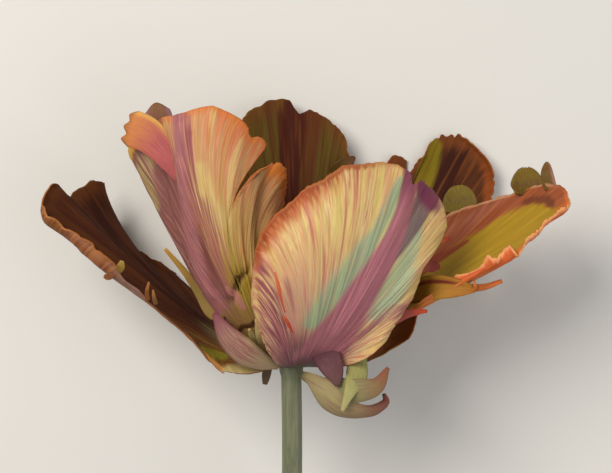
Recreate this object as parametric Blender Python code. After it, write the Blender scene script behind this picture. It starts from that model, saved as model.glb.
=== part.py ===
"""A cut parrot tulip in full bloom, lying on its side: the bare stem with its receptacle,
six feathered tepals in two whorls, one small curled tepal, the pistil and six stamens.

The flower is laid out in its own frame, in millimetres: the receptacle is at the origin,
+Y runs along the bloom's axis to its open end, +Z is up from the table.  FLOWER_PLACE
then lifts it so that the part stands on z = 0 with its box centred on the origin.
"""
import math
import random

import bpy
import numpy as np

MM = 0.001

# Driving dimensions, in millimetres.
STEM_RADIUS = 2.8
STEM_LENGTH = 170.0
BLADE_THICKNESS = 0.7
LOBE_THICKNESS = 0.8
NECK_RADIUS = 3.3          # the receptacle's neck, which the tepals' claws stand round
CLAW_GAP = 0.3             # clearance between a claw and what carries it
OUTER_LEVEL = 0.0          # height of each whorl on the neck
INNER_LEVEL = 1.8
LEAN_START = 0.4           # how far up a blade the veins start to lean
FLOOR = -40.3              # height of the table below the receptacle
FLOWER_PLACE = (-3.0, 47.0, -FLOOR)

# The outlines are drawn as seen from EYE_HEIGHT above the receptacle, straight down:
# across and down a sheet, in steps of SHEET_STEP, with the height in millimetres after them.
EYE_HEIGHT = 398.0
SHEET_STEP = 0.2754
SHEET_CENTRE = (306.0, 236.5)
EYE_PLACE = (4.0, 35.6)

# Each tepal stands on the neck round "root" degrees from +X towards +Z, "spread" degrees to
# either side.  "left", "tip" and "right" go round its margin, seen from outside: the margin's
# place (across, down, height) and the place that the blade bellies towards on its way there.
# "hem" is (place round the margin, length, degrees rolled inwards) beyond that margin.
# "teeth" is (how many, how deep, seed), "slits" (place, depth, half width).  "lean" slants
# the veins about a slit: where it starts, is greatest and stops, and how far they go aside.
TEPALS = {
    "tepal_front": dict(
        root=65, spread=46, level=OUTER_LEVEL, flare=13,
        left=[((259, 328, 15), (268, 356, 19)),
              ((252, 282, 21), (262, 322, 29)), ((260, 243, 24), (274, 296, 34)),
              ((283, 212, 25), (294, 276, 36)), ((318, 183, 26), (322, 262, 37)),
              ((365, 166, 24), (352, 254, 36))],
        tip=((400, 168, 20), (374, 254, 34)),
        right=[((413, 181, 17.5), (383, 258, 32.5)), ((425, 187, 15), (392, 262, 31)),
               ((442, 207, 12), (404, 272, 27)), ((440, 240, 12), (408, 290, 25)),
               ((422, 271, 12), (402, 308, 23)), ((408, 304, 12), (393, 332, 22)),
               ((388, 337, 13), (366, 370, 17))],
        hem=[(-1, 1.0, 10), (-0.5, 1.5, 20), (0, 1.5, 10), (0.5, 2.0, 40), (1, 1.0, 10)],
        teeth=(13, 1.2, 3), slits=[(0.10, 3.0, 0.035)], waves=(6, 0.4, 0.0),
    ),
    "tepal_front_left": dict(
        root=130, spread=42, level=INNER_LEVEL, flare=8.5,
        left=[((161, 211, 3), (204, 312, 9)), ((144, 181, 4), (199, 294, 12)),
              ((131, 156, 5), (196, 280, 14.5)), ((148, 128, 9), (192, 256, 19))],
        tip=((172, 118, 15), (191, 233, 23)),
        right=[((205, 107, 18), (203, 240, 22)), ((239, 121, 17), (214, 247, 20)),
               ((251, 134, 15.5), (219, 251, 19)), ((264, 138, 14), (223, 254, 18.5)),
               ((267, 148, 13), (226, 257, 18)), ((271, 166, 10), (233, 262, 16.5)),
               ((281, 165, 9), (237, 267, 15.3)), ((285, 184, 7), (249, 279, 12.5)),
               ((284, 206, 5), (263, 293, 9))],
        hem=[(-1, 1.0, 10), (-0.5, 2.0, 50), (0, 1.0, 0), (0.5, 1.0, -10), (1, 1.0, 10)],
        teeth=(13, 1.0, 8), slits=[(0.116, 2.0, 0.015), (0.21, 17.0, 0.05)], waves=(5, 0.4, 0.8),
        lean=(-0.1, 0.21, 1.0, 0.48),
    ),
    "tepal_left": dict(
        root=188, spread=46, level=OUTER_LEVEL, flare=9,
        left=[((176, 274, -37.5), (226, 322, -30)), ((140, 251, -39.5), (186, 292, -36)),
              ((113, 236, -38.5), (150, 276, -37)), ((106, 208, -34), (128, 264, -35.5)),
              ((103, 184, -29), (118, 258, -32))],
        tip=((84, 184, -22), (132, 270, -27)),
        right=[((67, 196, -16), (150, 284, -24.5)), ((56, 188, -12), (148, 285, -23)),
               ((48, 203, -8), (148, 290, -20)), ((47, 222, -4), (150, 297, -17)),
               ((68, 240, -2), (157, 309, -13)), ((92, 260, 0), (168, 321, -10)),
               ((120, 281, 2), (182, 334, -7)), ((150, 303, 4), (198, 347, -3)),
               ((174, 324, 5), (216, 361, 1)), ((198, 348, 7), (234, 373, 5)),
               ((226, 371, 8), (252, 379, 8))],
        hem=[(-1, 0.5, 5), (-0.2, 0.6, 5), (0.08, 0.8, 10), (0.16, 2.5, 70), (0.25, 5.0, 130),
             (0.45, 5.5, 140), (0.55, 4.0, 130), (0.62, 2.0, 80), (0.75, 1.2, 30), (1, 1.0, 10)],
        teeth=(17, 1.3, 5), slits=[], waves=(8, 0.4, 0.3),
    ),
    "tepal_back": dict(
        root=268, spread=42, level=INNER_LEVEL, flare=10,
        left=[((358, 260, -22), (322, 330, -19)), ((362, 205, -28), (334, 300, -28)),
              ((350, 162, -31), (330, 284, -34)), ((334, 128, -33), (320, 276, -37))],
        tip=((303, 111, -34), (302, 272, -38)),
        right=[((272, 102, -34), (284, 275, -37)), ((248, 116, -33), (268, 282, -35)),
               ((232, 152, -30), (260, 295, -31)), ((226, 205, -26), (258, 312, -26)),
               ((238, 265, -19), (264, 335, -17))],
        hem=[(-1, 1.0, 10), (0, 1.5, 20), (1, 1.0, 10)],
        teeth=(11, 1.0, 11), slits=[(0.02, 2.5, 0.05)], waves=(5, 0.7, 0.5),
    ),
    "tepal_back_right": dict(
        root=315, spread=46, level=OUTER_LEVEL, flare=12,
        left=[((405, 340, -17), (362, 372, -21)), ((422, 302, -24), (382, 345, -27)),
              ((457, 262, -31), (400, 325, -35)), ((481, 222, -35), (411, 308, -40)),
              ((488, 182, -36), (414, 292, -43)), ((479, 158, -37), (408, 280, -45))],
        tip=((454, 138, -38), (396, 275, -46)),
        right=[((432, 141, -39), (380, 278, -46)), ((421, 158, -39), (371, 281, -45.5)),
               ((411, 168, -39), (363, 284, -45)), ((404, 160, -39), (355, 287, -44.5)),
               ((395, 157, -39), (348, 290, -44)), ((376, 185, -38), (334, 300, -43)),
               ((350, 232, -36), (320, 322, -38)), ((328, 285, -32), (303, 350, -28))],
        hem=[(-1, 1.5, 20), (-0.3, 3.2, 70), (-0.12, 4.2, 115), (0, 2.0, 60), (0.1, 0.8, 10),
             (1, 0.5, 5)],
        teeth=(15, 1.2, 17), slits=[(0.26, 3.0, 0.03)], waves=(8, 0.5, 0.1),
    ),
    "tepal_right": dict(
        root=8, spread=42, level=INNER_LEVEL, flare=8,
        left=[((455, 278, 8), (374, 336, 6)), ((485, 268, 12), (395, 324, 3.4)),
              ((501, 262, 12.8), (405, 317.5, 2)), ((516, 258, 13), (417, 309.5, 0.2)),
              ((522, 247, 13), (424, 305, -0.5)), ((539, 232, 13), (434, 296.5, -1.9)),
              ((556, 217, 12), (445, 287, -3.5))],
        tip=((567, 204, 8), (456, 276, -6)),
        right=[((565, 193, 4), (456, 270, -8)), ((557, 187, 0), (454, 266, -9.5)),
               ((545, 185, -3), (448, 262, -12)),
               ((520, 192, -8), (436, 264, -15)), ((485, 202, -12), (416, 272, -18)),
               ((445, 217, -15), (392, 290, -20)), ((398, 255, -16), (362, 314, -18)),
               ((345, 315, -12), (328, 344, -13))],
        hem=[(-1, 1.0, 10), (-0.78, 1.6, 75), (-0.73, 3.6, 100), (-0.68, 1.8, 85), (-0.60, 5.2, 105),
             (-0.53, 1.8, 85), (-0.48, 1.8, 85), (-0.43, 3.6, 105), (-0.34, 3.0, 100),
             (-0.31, 1.8, 85), (-0.26, 3.4, 105), (-0.21, 2.2, 95), (-0.05, 2.4, 95),
             (0.03, 1.6, 50), (0.12, 0.8, 10), (1, 1.0, 10)],
        teeth=(11, 0.8, 23), slits=[], waves=(6, 0.4, 0.4),
    ),
}


# Lobes, spurs and crests that grow out of a tepal: a path on the sheet, the half width along
# it, which way the outer face looks, how far each of its columns reaches, and its cup in degrees.
LOBES = {
    "tepal_front": [
        dict(path=[(430, 241, 15.4), (439, 240, 12.2), (449, 239, 10.5)], widths=[0.8, 0.8, 0.5]),
        dict(path=[(414, 265, 16.3), (427, 266, 11.0), (440, 267, 9.5)], widths=[1.4, 1.6, 1.2]),
        dict(path=[(394, 319, 15.5), (407, 314, 12), (417, 312, 10.5), (427, 311, 9.5)],
             widths=[1.6, 1.1, 0.8, 0.4]),
        dict(path=[(321, 343, 14.8), (325, 351, 12.4), (330, 363, 12.2), (335, 375, 12.8),
                   (337, 386, 13.8)], widths=[3.2, 3.9, 3.5, 2.3, 0.5], cup=25),
    ],
    "tepal_front_left": [
        dict(path=[(182, 180, 16.2), (170, 160, 16.4), (146, 134, 14), (124, 126, 11)],
             widths=[1.5, 3.2, 4.8, 5.2], ends=(0.85, 0.99, 0.90, 1.0, 0.91, 0.98, 0.86), cup=25),
        dict(path=[(162, 150, 11.6), (159, 132, 9.2), (158, 116, 7), (156, 103, 5)],
             widths=[2.2, 3.6, 3.4, 1.5]),
        dict(path=[(224, 318, 7.2), (211, 313, 4), (199, 293, 2), (184, 271, 2), (165, 249, 2)],
             widths=[1.4, 1.5, 1.2, 0.85, 0.45]),
        dict(path=[(262, 348, 5.4), (255, 340, 8.4), (249, 329, 11)], widths=[1.2, 1.4, 0.3]),
        dict(path=[(270, 350, 5.6), (262, 336, 10.8), (256, 319, 13)], widths=[1.2, 1.6, 0.3]),
    ],
    "tepal_left": [
        dict(path=[(279, 367, 3), (264, 364, 10), (246, 355, 13.5), (228, 338, 13), (214, 313, 9.5)],
             widths=[1.2, 2.6, 3.9, 3.3, 0.6], facing=(0, -0.3, 1), cup=40),
        dict(path=[(268, 367, 3.9), (266, 377, 1.5), (265, 384, 0)], widths=[1.2, 1.1, 0.6]),
        dict(path=[(114, 273, 2.2), (108, 277, 2.6), (104, 276, 3)], widths=[0.9, 0.8, 0.5]),
    ],
    "tepal_back": [
        dict(path=[(332, 178, -34.2), (346, 164, -30.4), (355, 158, -30)], widths=[2.5, 2.2, 0.8],
             facing=(0, 0, -1)),
    ],
    "tepal_right": [
        dict(path=[(551, 190, -0.4), (549, 184, -3), (547, 173, -4), (547, 162, -3)],
             widths=[1.5, 1.9, 1.8, 0.6], facing=(0, 0, -1)),
        dict(path=[(528, 195, -5.3), (527, 186, -7.8), (523, 169, -8)], widths=[3.2, 4.4, 2.4],
             facing=(0, 0, -1), ends=(0.8, 0.92, 1.0, 0.93, 0.84)),
        dict(path=[(461, 213, -14.2), (460, 204, -16.4), (457, 186, -17)], widths=[4.0, 4.7, 3.4],
             facing=(0, 0, -1), ends=(0.84, 0.94, 1.0, 0.93, 0.82)),
        dict(path=[(400, 298, -4.6), (418, 290, 2), (438, 287, 8.6), (460, 288, 9.8),
                   (475, 289, 9.6)], widths=[2.0, 3.3, 3.4, 2.3, 0.9], facing=(0, 0, -1), cup=30),
        dict(path=[(464, 288, 9.8), (484, 287, 9.3), (502, 281, 8)], widths=[1.1, 0.8, 0.6],
             facing=(0, 0, -1), cup=40),
    ],
}


# The small tepal under the bloom: a body that ends in a claw, a second claw and a spike.
CURLED = [
    dict(path=[(302, 377, 2.6), (311, 384, 8), (324, 396, 11), (340, 408, 12), (360, 413, 11),
               (376, 410, 9), (386, 401, 8), (384, 394, 9)],
         widths=[1.6, 3.0, 4.6, 3.9, 2.4, 1.6, 0.9, 0.4], cup=50, facing=(-0.3, -0.4, 1),
         ends=(1, 1, 1, 1, 1)),
    dict(path=[(318, 384, 8), (338, 391, 12), (358, 391, 13), (375, 387, 12), (388, 368, 9)],
         widths=[2.0, 3.6, 3.2, 2.4, 0.4], cup=30, ends=(1, 1, 1, 1, 1)),
    dict(path=[(361, 352, 7.0), (358, 365, 8.2), (356, 379, 11.8), (350, 392, 14.2), (342, 411, 14.6)],
         widths=[1.5, 2.7, 2.7, 1.5, 0.3], cup=30, ends=(1, 1, 1)),
]


def seen(across, down, height):
    """A place in the flower's frame from where it is on the sheet, seen from above."""
    scale = SHEET_STEP * (EYE_HEIGHT - height) / EYE_HEIGHT
    x = EYE_PLACE[0] + (across - SHEET_CENTRE[0]) * scale
    y = EYE_PLACE[1] - (down - SHEET_CENTRE[1]) * scale
    return x, y, height


def smooth(knots, values, x):
    """A smooth curve through values at knots, read at x."""
    knots = np.asarray(knots, float)
    values = np.asarray(values, float)
    x = np.asarray(x, float)
    slopes = np.gradient(values, knots, axis=0)
    i = np.clip(np.searchsorted(knots, x) - 1, 0, len(knots) - 2)
    span = knots[i + 1] - knots[i]
    u = (x - knots[i]) / span
    if values.ndim > 1:
        u, span = u[..., None], span[..., None]
    start = values[i] * (1 + 2 * u) * (1 - u) ** 2 + slopes[i] * span * u * (1 - u) ** 2
    end = values[i + 1] * u * u * (3 - 2 * u) + slopes[i + 1] * span * u * u * (u - 1)
    return start + end


def unit(v):
    return v / np.linalg.norm(v, axis=-1, keepdims=True)


def margin_depth(blade):
    """Where the margin is cut back: places round it and the depth there, as two lists."""
    count, depth, seed = blade["teeth"]
    chance = random.Random(seed)
    cuts = {-1.0: 0.0, 1.0: 0.0}
    for k in range(count):
        notch = -1 + 2 * (k + 0.35 + 0.3 * chance.random()) / count
        cuts[notch] = depth * (0.35 + 0.65 * chance.random()) * (1 - 0.8 * notch ** 4)
        if k:
            cuts[-1 + 2 * (k + 0.12 * (chance.random() - 0.5)) / count] = 0.0
    for place, deep, half in blade["slits"]:
        for old in [s for s in cuts if abs(s - place) < half * 1.6]:
            del cuts[old]
        for aside, share in ((-1, 0), (-0.45, 0.6), (0, 1), (0.45, 0.6), (1, 0)):
            cuts[place + half * aside] = deep * share
    places = sorted(cuts)
    return places, [cuts[s] for s in places]


def leaned(blade, s, t):
    """Where the veins lie at t of their length: about a slanted slit they go to one side."""
    start, most, stop, shift = blade.get("lean", (-1, 0, 1, 0))
    rise = np.clip((s - start) / (most - start), 0, 1)
    near = np.minimum(rise * rise * (3 - 2 * rise), np.clip((stop - s) / (stop - most), 0, 1))
    ahead = np.clip((t - LEAN_START) / (1 - LEAN_START), 0, 1)
    return s + shift * near * ahead * ahead * (2 - ahead)


def veins_of(blade, widest=0.16, nearest=0.025):
    """The veins that a blade's mesh follows: each tooth, notch and turn of its hem, and more
    between far ones."""
    places, _ = margin_depth(blade)
    turns = [place for place, _, _ in blade["hem"]]
    places = sorted(places + [s for s in turns if min(abs(s - p) for p in places) > nearest])
    veins = [places[0]]
    for s in places[1:]:
        start = veins[-1]
        parts = max(1, math.ceil((leaned(blade, s, 1) - leaned(blade, start, 1)) / widest))
        veins += [start + (s - start) * (k + 1) / parts for k in range(parts)]
    return np.array(veins)


def control_net(blade, veins):
    """Each vein's four guiding points: on the neck, as it flares, where it bellies, its end."""
    halves = []
    for side in ("left", "right"):
        listed = blade[side] + [blade["tip"]] if side == "left" else blade[side][::-1] + [blade["tip"]]
        points = np.array([seen(*margin) + seen(*belly) for margin, belly in listed])
        run = np.concatenate([[0], np.cumsum(np.linalg.norm(np.diff(points[:, :3], axis=0), axis=1))])
        halves.append((run / run[-1] - 1, points))
    knots = np.concatenate([halves[0][0], -halves[1][0][-2::-1]])
    points = smooth(knots, np.concatenate([halves[0][1], halves[1][1][-2::-1]]), veins)
    margin, belly = points[:, :3], points[:, 3:]
    angle = np.radians(blade["root"] - blade["spread"] * veins)
    out = np.stack([np.cos(angle), np.zeros_like(angle), np.sin(angle)], axis=1)
    root = out * (NECK_RADIUS + CLAW_GAP) + (0, blade["level"], 0)
    reach = np.linalg.norm(margin - root, axis=1)[:, None]
    flare = root + out * blade["flare"] * np.clip(reach / 35, 0, 1)
    return root, flare, belly, margin


def vein_lines(blade, veins):
    """Each vein as a line of points from the neck to past the margin, round its hem."""
    root, flare, belly, margin = control_net(blade, veins)
    t = np.linspace(0, 1, 40)[:, None, None]
    line = root * (1 - t) ** 3 + flare * 3 * t * (1 - t) ** 2 + belly * 3 * t * t * (1 - t) + margin * t ** 3
    ends = [control_net(blade, np.clip(veins + step, -1, 1))[3] for step in (-0.01, 0.01)]
    round_it = unit(ends[1] - ends[0])
    outward = unit(np.cross(round_it, margin - belly))
    ahead = unit(0.85 * np.cross(outward, round_it) + 0.15 * unit(margin - belly))
    places, lengths, turns = zip(*blade["hem"])
    hem = np.interp(veins, places, lengths)
    turn = np.radians(np.interp(veins, places, turns))
    turn = np.where(np.abs(turn) < 0.02, 0.02, turn)
    radius = (hem / turn)[:, None]
    part = np.linspace(0, 1, 13)[1:, None, None] * turn[:, None]
    rolled = margin + ahead * radius * np.sin(part) - outward * radius * (1 - np.cos(part))
    line = np.concatenate([line, rolled])
    steps = np.linalg.norm(np.diff(line, axis=0), axis=2)
    run = np.concatenate([np.zeros((1, len(veins))), np.cumsum(steps, axis=0)])
    return line, run


def on_blade(blade, s, t):
    """Places on a blade: s round its margin, and t of the way up the vein there."""
    line, run = vein_lines(blade, np.clip(s, -1, 1).ravel())
    places = np.empty((s.size, 3))
    for k, reach in enumerate(np.clip(t, 0, 1).ravel() * run[-1]):
        for axis in range(3):
            places[k, axis] = np.interp(reach, run[:, k], line[:, k, axis])
    return places.reshape(s.shape + (3,))


def blade_sheet(blade, veins, rows=8, hem_rows=3):
    """The blade's middle surface, one column a vein, and its outward normals."""
    _, run = vein_lines(blade, leaned(blade, veins, 1))
    end = 1 - np.interp(veins, *margin_depth(blade)) / run[-1]
    fold = end * np.minimum(run[39] / run[-1], 0.9)
    even = np.linspace(0, 1, rows + 1)[:, None]
    main = even * ((1 - even) * 0.9 + even * fold)
    shares = np.concatenate([main, np.linspace(fold, end, hem_rows + 1)[1:]])
    s = leaned(blade, veins[None, :], shares)
    flat = on_blade(blade, s, shares)
    up = unit(np.cross(np.gradient(flat, axis=1), np.gradient(flat, axis=0)))
    count, height, phase = blade["waves"]
    ruffle = height * shares ** 4 * np.sin(2 * math.pi * (count * (s + 1) / 2 + phase))
    across = on_blade(blade, s + 0.01, shares) - on_blade(blade, s - 0.01, shares)
    ahead = on_blade(blade, s, shares + 0.004) - on_blade(blade, s, shares - 0.004)
    return flat + up * ruffle[..., None], unit(np.cross(across, ahead))


def lobe_sheet(lobe, rows=5):
    """A lobe's middle surface and its outward normals."""
    path = np.array([seen(*p) for p in lobe["path"]])
    run = np.concatenate([[0], np.cumsum(np.linalg.norm(np.diff(path, axis=0), axis=1))])
    run = run / run[-1]
    ends = lobe.get("ends", (1, 1, 1))
    out = np.array(lobe.get("facing", (0, 0, 1)), float)
    cup = math.radians(lobe.get("cup", 15))
    share = np.linspace(0, 1, rows + 1)[:, None] * np.array(ends)
    line = smooth(run, path, share)
    ahead = unit(smooth(run, path, np.minimum(share + 0.02, 1)) - smooth(run, path, share - 0.02))
    across = unit(np.cross(ahead, out))
    up = np.cross(across, ahead)
    half = smooth(run, lobe["widths"], share)[..., None]
    side = np.linspace(-1, 1, len(ends))[None, :, None] * cup
    points = line + across * half * np.sin(side) / cup - up * half * (1 - np.cos(side)) / cup
    return points, unit(up * np.cos(side) + across * np.sin(side))


def solid_blade(name, points, normals, thickness, material):
    """A closed blade round a grid of points, split alike on both faces."""
    rows, columns = points.shape[:2]
    outer = (points + normals * thickness / 2).reshape(-1, 3)
    inner = (points - normals * thickness / 2).reshape(-1, 3)
    verts = np.concatenate([outer, inner])
    shift = rows * columns
    middle = points.reshape(-1, 3)
    faces = []
    for r in range(rows - 1):
        for c in range(columns - 1):
            a, b = r * columns + c, r * columns + c + 1
            d, e = a + columns, b + columns
            if np.linalg.norm(middle[a] - middle[e]) <= np.linalg.norm(middle[b] - middle[d]):
                corners = (a, b, e), (a, e, d)
            else:
                corners = (a, b, d), (b, e, d)
            for corner in corners:
                faces.append(corner)
                faces.append(tuple(v + shift for v in reversed(corner)))
    rim = [(0, c) for c in range(columns)]
    rim += [(r, columns - 1) for r in range(1, rows)]
    rim += [(rows - 1, c) for c in range(columns - 2, -1, -1)]
    rim += [(r, 0) for r in range(rows - 2, 0, -1)]
    ring = [r * columns + c for r, c in rim]
    for a, b in zip(ring, ring[1:] + ring[:1]):
        faces.append((b, a, a + shift))
        faces.append((b, a + shift, b + shift))
    return mesh_object(name, verts, faces, material)


def mesh_object(name, verts, faces, material):
    """An object in the row frame from places in the flower's frame, in millimetres."""
    mesh = bpy.data.meshes.new(name)
    placed = (np.asarray(verts, float) + FLOWER_PLACE) * MM
    mesh.from_pydata([tuple(v) for v in placed], [], faces)
    mesh.update()
    mesh.shade_smooth()
    mesh.materials.append(material)
    obj = bpy.data.objects.new(name, mesh)
    bpy.context.scene.collection.objects.link(obj)
    return obj


def fused(obj, helpers):
    """Joins helpers to an object as one body, and takes them away."""
    group = bpy.data.collections.new(obj.name + "_lobes")
    bpy.context.scene.collection.children.link(group)
    for helper in helpers:
        bpy.context.scene.collection.objects.unlink(helper)
        group.objects.link(helper)
    join = obj.modifiers.new("join", "BOOLEAN")
    join.operation = "UNION"
    join.operand_type = "COLLECTION"
    join.collection = group
    join.solver = "MANIFOLD"
    bpy.context.view_layer.objects.active = obj
    bpy.ops.object.modifier_apply(modifier=join.name)
    for helper in helpers:
        bpy.data.objects.remove(helper)
    bpy.data.collections.remove(group)


def tube(name, path, radii, sides, material, squash=None):
    """A closed tube round a path, its section a circle or squash(angle, share) times one."""
    path = np.array(path, float)
    ahead = unit(np.gradient(path, axis=0))
    side = unit(np.cross(ahead, (0.3, 0.1, 1.0)))
    up = np.cross(side, ahead)
    verts = []
    for k, radius in enumerate(radii):
        for n in range(sides):
            a = 2 * math.pi * n / sides
            r = radius * (squash(a, k / (len(radii) - 1)) if squash else 1)
            verts.append(path[k] + side[k] * r * math.cos(a) + up[k] * r * math.sin(a))
    verts += [path[0], path[-1]]
    last = (len(path) - 1) * sides
    faces = []
    for n in range(sides):
        m = (n + 1) % sides
        for ring in range(0, last, sides):
            faces.append((ring + n, ring + n + sides, ring + m + sides))
            faces.append((ring + n, ring + m + sides, ring + m))
        faces.append((len(verts) - 2, n, m))
        faces.append((len(verts) - 1, last + m, last + n))
    return mesh_object(name, verts, faces, material)


def stem_with_receptacle(material):
    """The bare stem from its cut end to the receptacle, which widens to carry the stamens."""
    ends = np.array([(2.0, -STEM_LENGTH, FLOOR + STEM_RADIUS + 0.05), (1.2, -130, -29.5),
                     (0.5, -90, -16.5), (0.1, -50, -6.0), (0.2, -20, -0.9), (0, -3, 0)])
    run = np.linspace(0, 1, len(ends))
    path = list(smooth(run, ends, np.linspace(0, 1, 25)))
    radii = [STEM_RADIUS] * 24 + [STEM_RADIUS + 0.1]
    for height, radius in ((-1.2, NECK_RADIUS), (2.7, NECK_RADIUS), (3.1, 4.7), (4.0, 4.7), (4.3, 4.5)):
        path.append((0, height, 0))
        radii.append(radius)
    return tube("stem", path, radii, 18, material)


def pistil(ovary_material, stigma_material):
    """A three-sided ovary that stands on the receptacle, and its three-lobed stigma."""
    rows = np.linspace(0, 1, 9)
    shape = smooth([0, 0.15, 0.5, 0.85, 1], [2.7, 3.2, 3.8, 3.3, 2.4], rows)
    path = [(0, 4.6 + 21 * t, 0) for t in rows]
    tube("ovary", path, shape, 21, ovary_material, lambda a, t: 1 + 0.10 * math.cos(3 * a))
    rows = np.linspace(0, 1, 6)
    shape = smooth([0, 0.4, 0.8, 1], [2.2, 3.4, 3.9, 2.6], rows)
    path = [(0, 25.9 + 4.2 * t, 0) for t in rows]
    tube("stigma", path, shape, 21, stigma_material, lambda a, t: 1 + 0.22 * t * math.cos(3 * a))


def stamens(filament_material, anther_material):
    """Six stamens in a ring round the ovary, each a tapering filament under a long anther."""
    for n in range(6):
        a = math.radians(60 * n + 35)
        out = np.array((math.cos(a), 0, math.sin(a)))
        foot = out * 4.0 + (0, 4.6, 0)
        tip = out * 6.4 + (0, 18.0, 0)
        path = [foot + (tip - foot) * t + out * 0.8 * math.sin(math.pi * t) for t in np.linspace(0, 1, 7)]
        radii = [0.62, 0.9, 1.1, 1.05, 0.9, 0.7, 0.45]
        tube(f"filament_{n + 1}", path, radii, 8, filament_material)
        lean = unit(tip - foot)
        path = [tip + lean * (0.4 + 11.0 * t) for t in np.linspace(0, 1, 8)]
        radii = smooth([0, 0.12, 0.5, 0.88, 1], [0.9, 1.5, 1.75, 1.4, 0.5], np.linspace(0, 1, 8))
        tube(f"anther_{n + 1}", path, radii, 10, anther_material, lambda t, _: 1 + 0.16 * math.cos(4 * t))


def petal_material(name, colour, roughness=0.55):
    material = bpy.data.materials.new(name)
    material.use_nodes = True
    shader = material.node_tree.nodes["Principled BSDF"]
    shader.inputs["Base Color"].default_value = (*colour, 1.0)
    shader.inputs["Roughness"].default_value = roughness
    return material


def main():
    for obj in list(bpy.data.objects):
        bpy.data.objects.remove(obj)
    outer = petal_material("outer_tepal", (0.70, 0.45, 0.30))
    inner = petal_material("inner_tepal", (0.72, 0.50, 0.18))
    curled = petal_material("curled_tepal", (0.60, 0.58, 0.28))
    green = petal_material("stem_green", (0.22, 0.28, 0.14), 0.5)
    ovary = petal_material("ovary_green", (0.38, 0.45, 0.16), 0.5)
    stigma = petal_material("stigma_yellow", (0.75, 0.68, 0.35), 0.7)
    filament = petal_material("filament_yellow", (0.50, 0.45, 0.12), 0.5)
    anther = petal_material("anther_purple", (0.06, 0.03, 0.06), 0.8)
    for name, tepal in TEPALS.items():
        material = outer if tepal["level"] == OUTER_LEVEL else inner
        points, normals = blade_sheet(tepal, veins_of(tepal))
        blade = solid_blade(name, points, normals, BLADE_THICKNESS, material)
        lobes = []
        for n, lobe in enumerate(LOBES.get(name, [])):
            points, normals = lobe_sheet(lobe)
            lobes.append(solid_blade(f"{name}_lobe_{n}", points, normals, LOBE_THICKNESS, material))
        if lobes:
            fused(blade, lobes)
    lobes = []
    for n, lobe in enumerate(CURLED):
        points, normals = lobe_sheet(lobe, 10)
        lobes.append(solid_blade(f"curled_{n}", points, normals, LOBE_THICKNESS, curled))
    body = lobes.pop(0)
    body.name = "curled_tepal"
    fused(body, lobes)
    stem_with_receptacle(green)
    pistil(ovary, stigma)
    stamens(filament, anther)


main()
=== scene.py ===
# A cut parrot tulip on a pale table: fine tepals with their veins, feathering and colours.
import math
import random

import bpy
import numpy as np
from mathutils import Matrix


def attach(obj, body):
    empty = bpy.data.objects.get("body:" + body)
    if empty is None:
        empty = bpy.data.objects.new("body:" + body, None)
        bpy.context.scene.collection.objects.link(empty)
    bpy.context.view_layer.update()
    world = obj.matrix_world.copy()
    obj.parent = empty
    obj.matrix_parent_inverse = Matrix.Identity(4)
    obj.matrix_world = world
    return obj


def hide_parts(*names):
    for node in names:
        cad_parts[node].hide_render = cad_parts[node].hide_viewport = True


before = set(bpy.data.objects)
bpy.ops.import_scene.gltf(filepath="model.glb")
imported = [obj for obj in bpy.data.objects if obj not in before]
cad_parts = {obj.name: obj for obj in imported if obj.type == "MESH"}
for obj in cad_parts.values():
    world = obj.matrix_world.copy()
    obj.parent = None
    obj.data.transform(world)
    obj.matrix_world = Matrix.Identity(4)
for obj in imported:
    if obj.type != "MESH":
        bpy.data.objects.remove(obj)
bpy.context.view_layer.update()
bpy.context.scene.view_settings.view_transform = "Standard"
print("frame loaded:", len(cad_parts), "nodes")

# Forms are laid out in the flower's frame, in millimetres: the receptacle at the origin, +Y up
# the bloom, +Z up from the table. Places on the sheet are (across, down, height), seen from the eye.
layout = {
    "mm": 0.001,
    "flowerPlace": (-3.0, 47.0, 40.3),
    "sheetStep": 0.2754,
    "sheetCentre": (306.0, 236.5),
    "eye": (4.0, 35.6, 398.0),
    "neckRadius": 3.6,
    # each whorl's height on the receptacle, and half the angle that its claws take up
    "outer_tepal": (0.0, 46),
    "inner_tepal": (1.8, 42),
    "leanStart": 0.4,
    "fullFlare": 35,
    "veinPoints": 40,
    "hemPoints": 12,
    "tepalThickness": 0.42,
    "lobeThickness": 0.5,
    "curledThickness": 0.55,
    "thinnest": 0.12,
}


def seenAt(across, down, height):
    eyeX, eyeY, eyeZ = layout["eye"]
    scale = layout["sheetStep"] * (eyeZ - height) / eyeZ
    x = eyeX + (across - layout["sheetCentre"][0]) * scale
    y = eyeY - (down - layout["sheetCentre"][1]) * scale
    return x, y, height


def smoothThrough(knots, values, x):
    # a smooth curve through values at knots, read at x
    knots = np.asarray(knots, float)
    values = np.asarray(values, float)
    x = np.asarray(x, float)
    slopes = np.gradient(values, knots, axis=0)
    i = np.clip(np.searchsorted(knots, x) - 1, 0, len(knots) - 2)
    span = knots[i + 1] - knots[i]
    u = (x - knots[i]) / span
    if values.ndim > 1:
        u, span = u[..., None], span[..., None]
    start = values[i] * (1 + 2 * u) * (1 - u) ** 2 + slopes[i] * span * u * (1 - u) ** 2
    end = values[i + 1] * u * u * (3 - 2 * u) + slopes[i + 1] * span * u * u * (u - 1)
    return start + end


def unit(v):
    return v / np.linalg.norm(v, axis=-1, keepdims=True)


def between(x, low, high):
    # 0 at low, 1 at high, eased
    u = np.clip((np.asarray(x, float) - low) / (high - low), 0, 1)
    return u * u * (3 - 2 * u)


def tone(red, green, blue):
    # a display colour out of 255 as the shader's linear one
    linear = [(c / 255 / 12.92) if c < 11 else ((c / 255 + 0.055) / 1.055) ** 2.4 for c in (red, green, blue)]
    return (*linear, 1.0)


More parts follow.
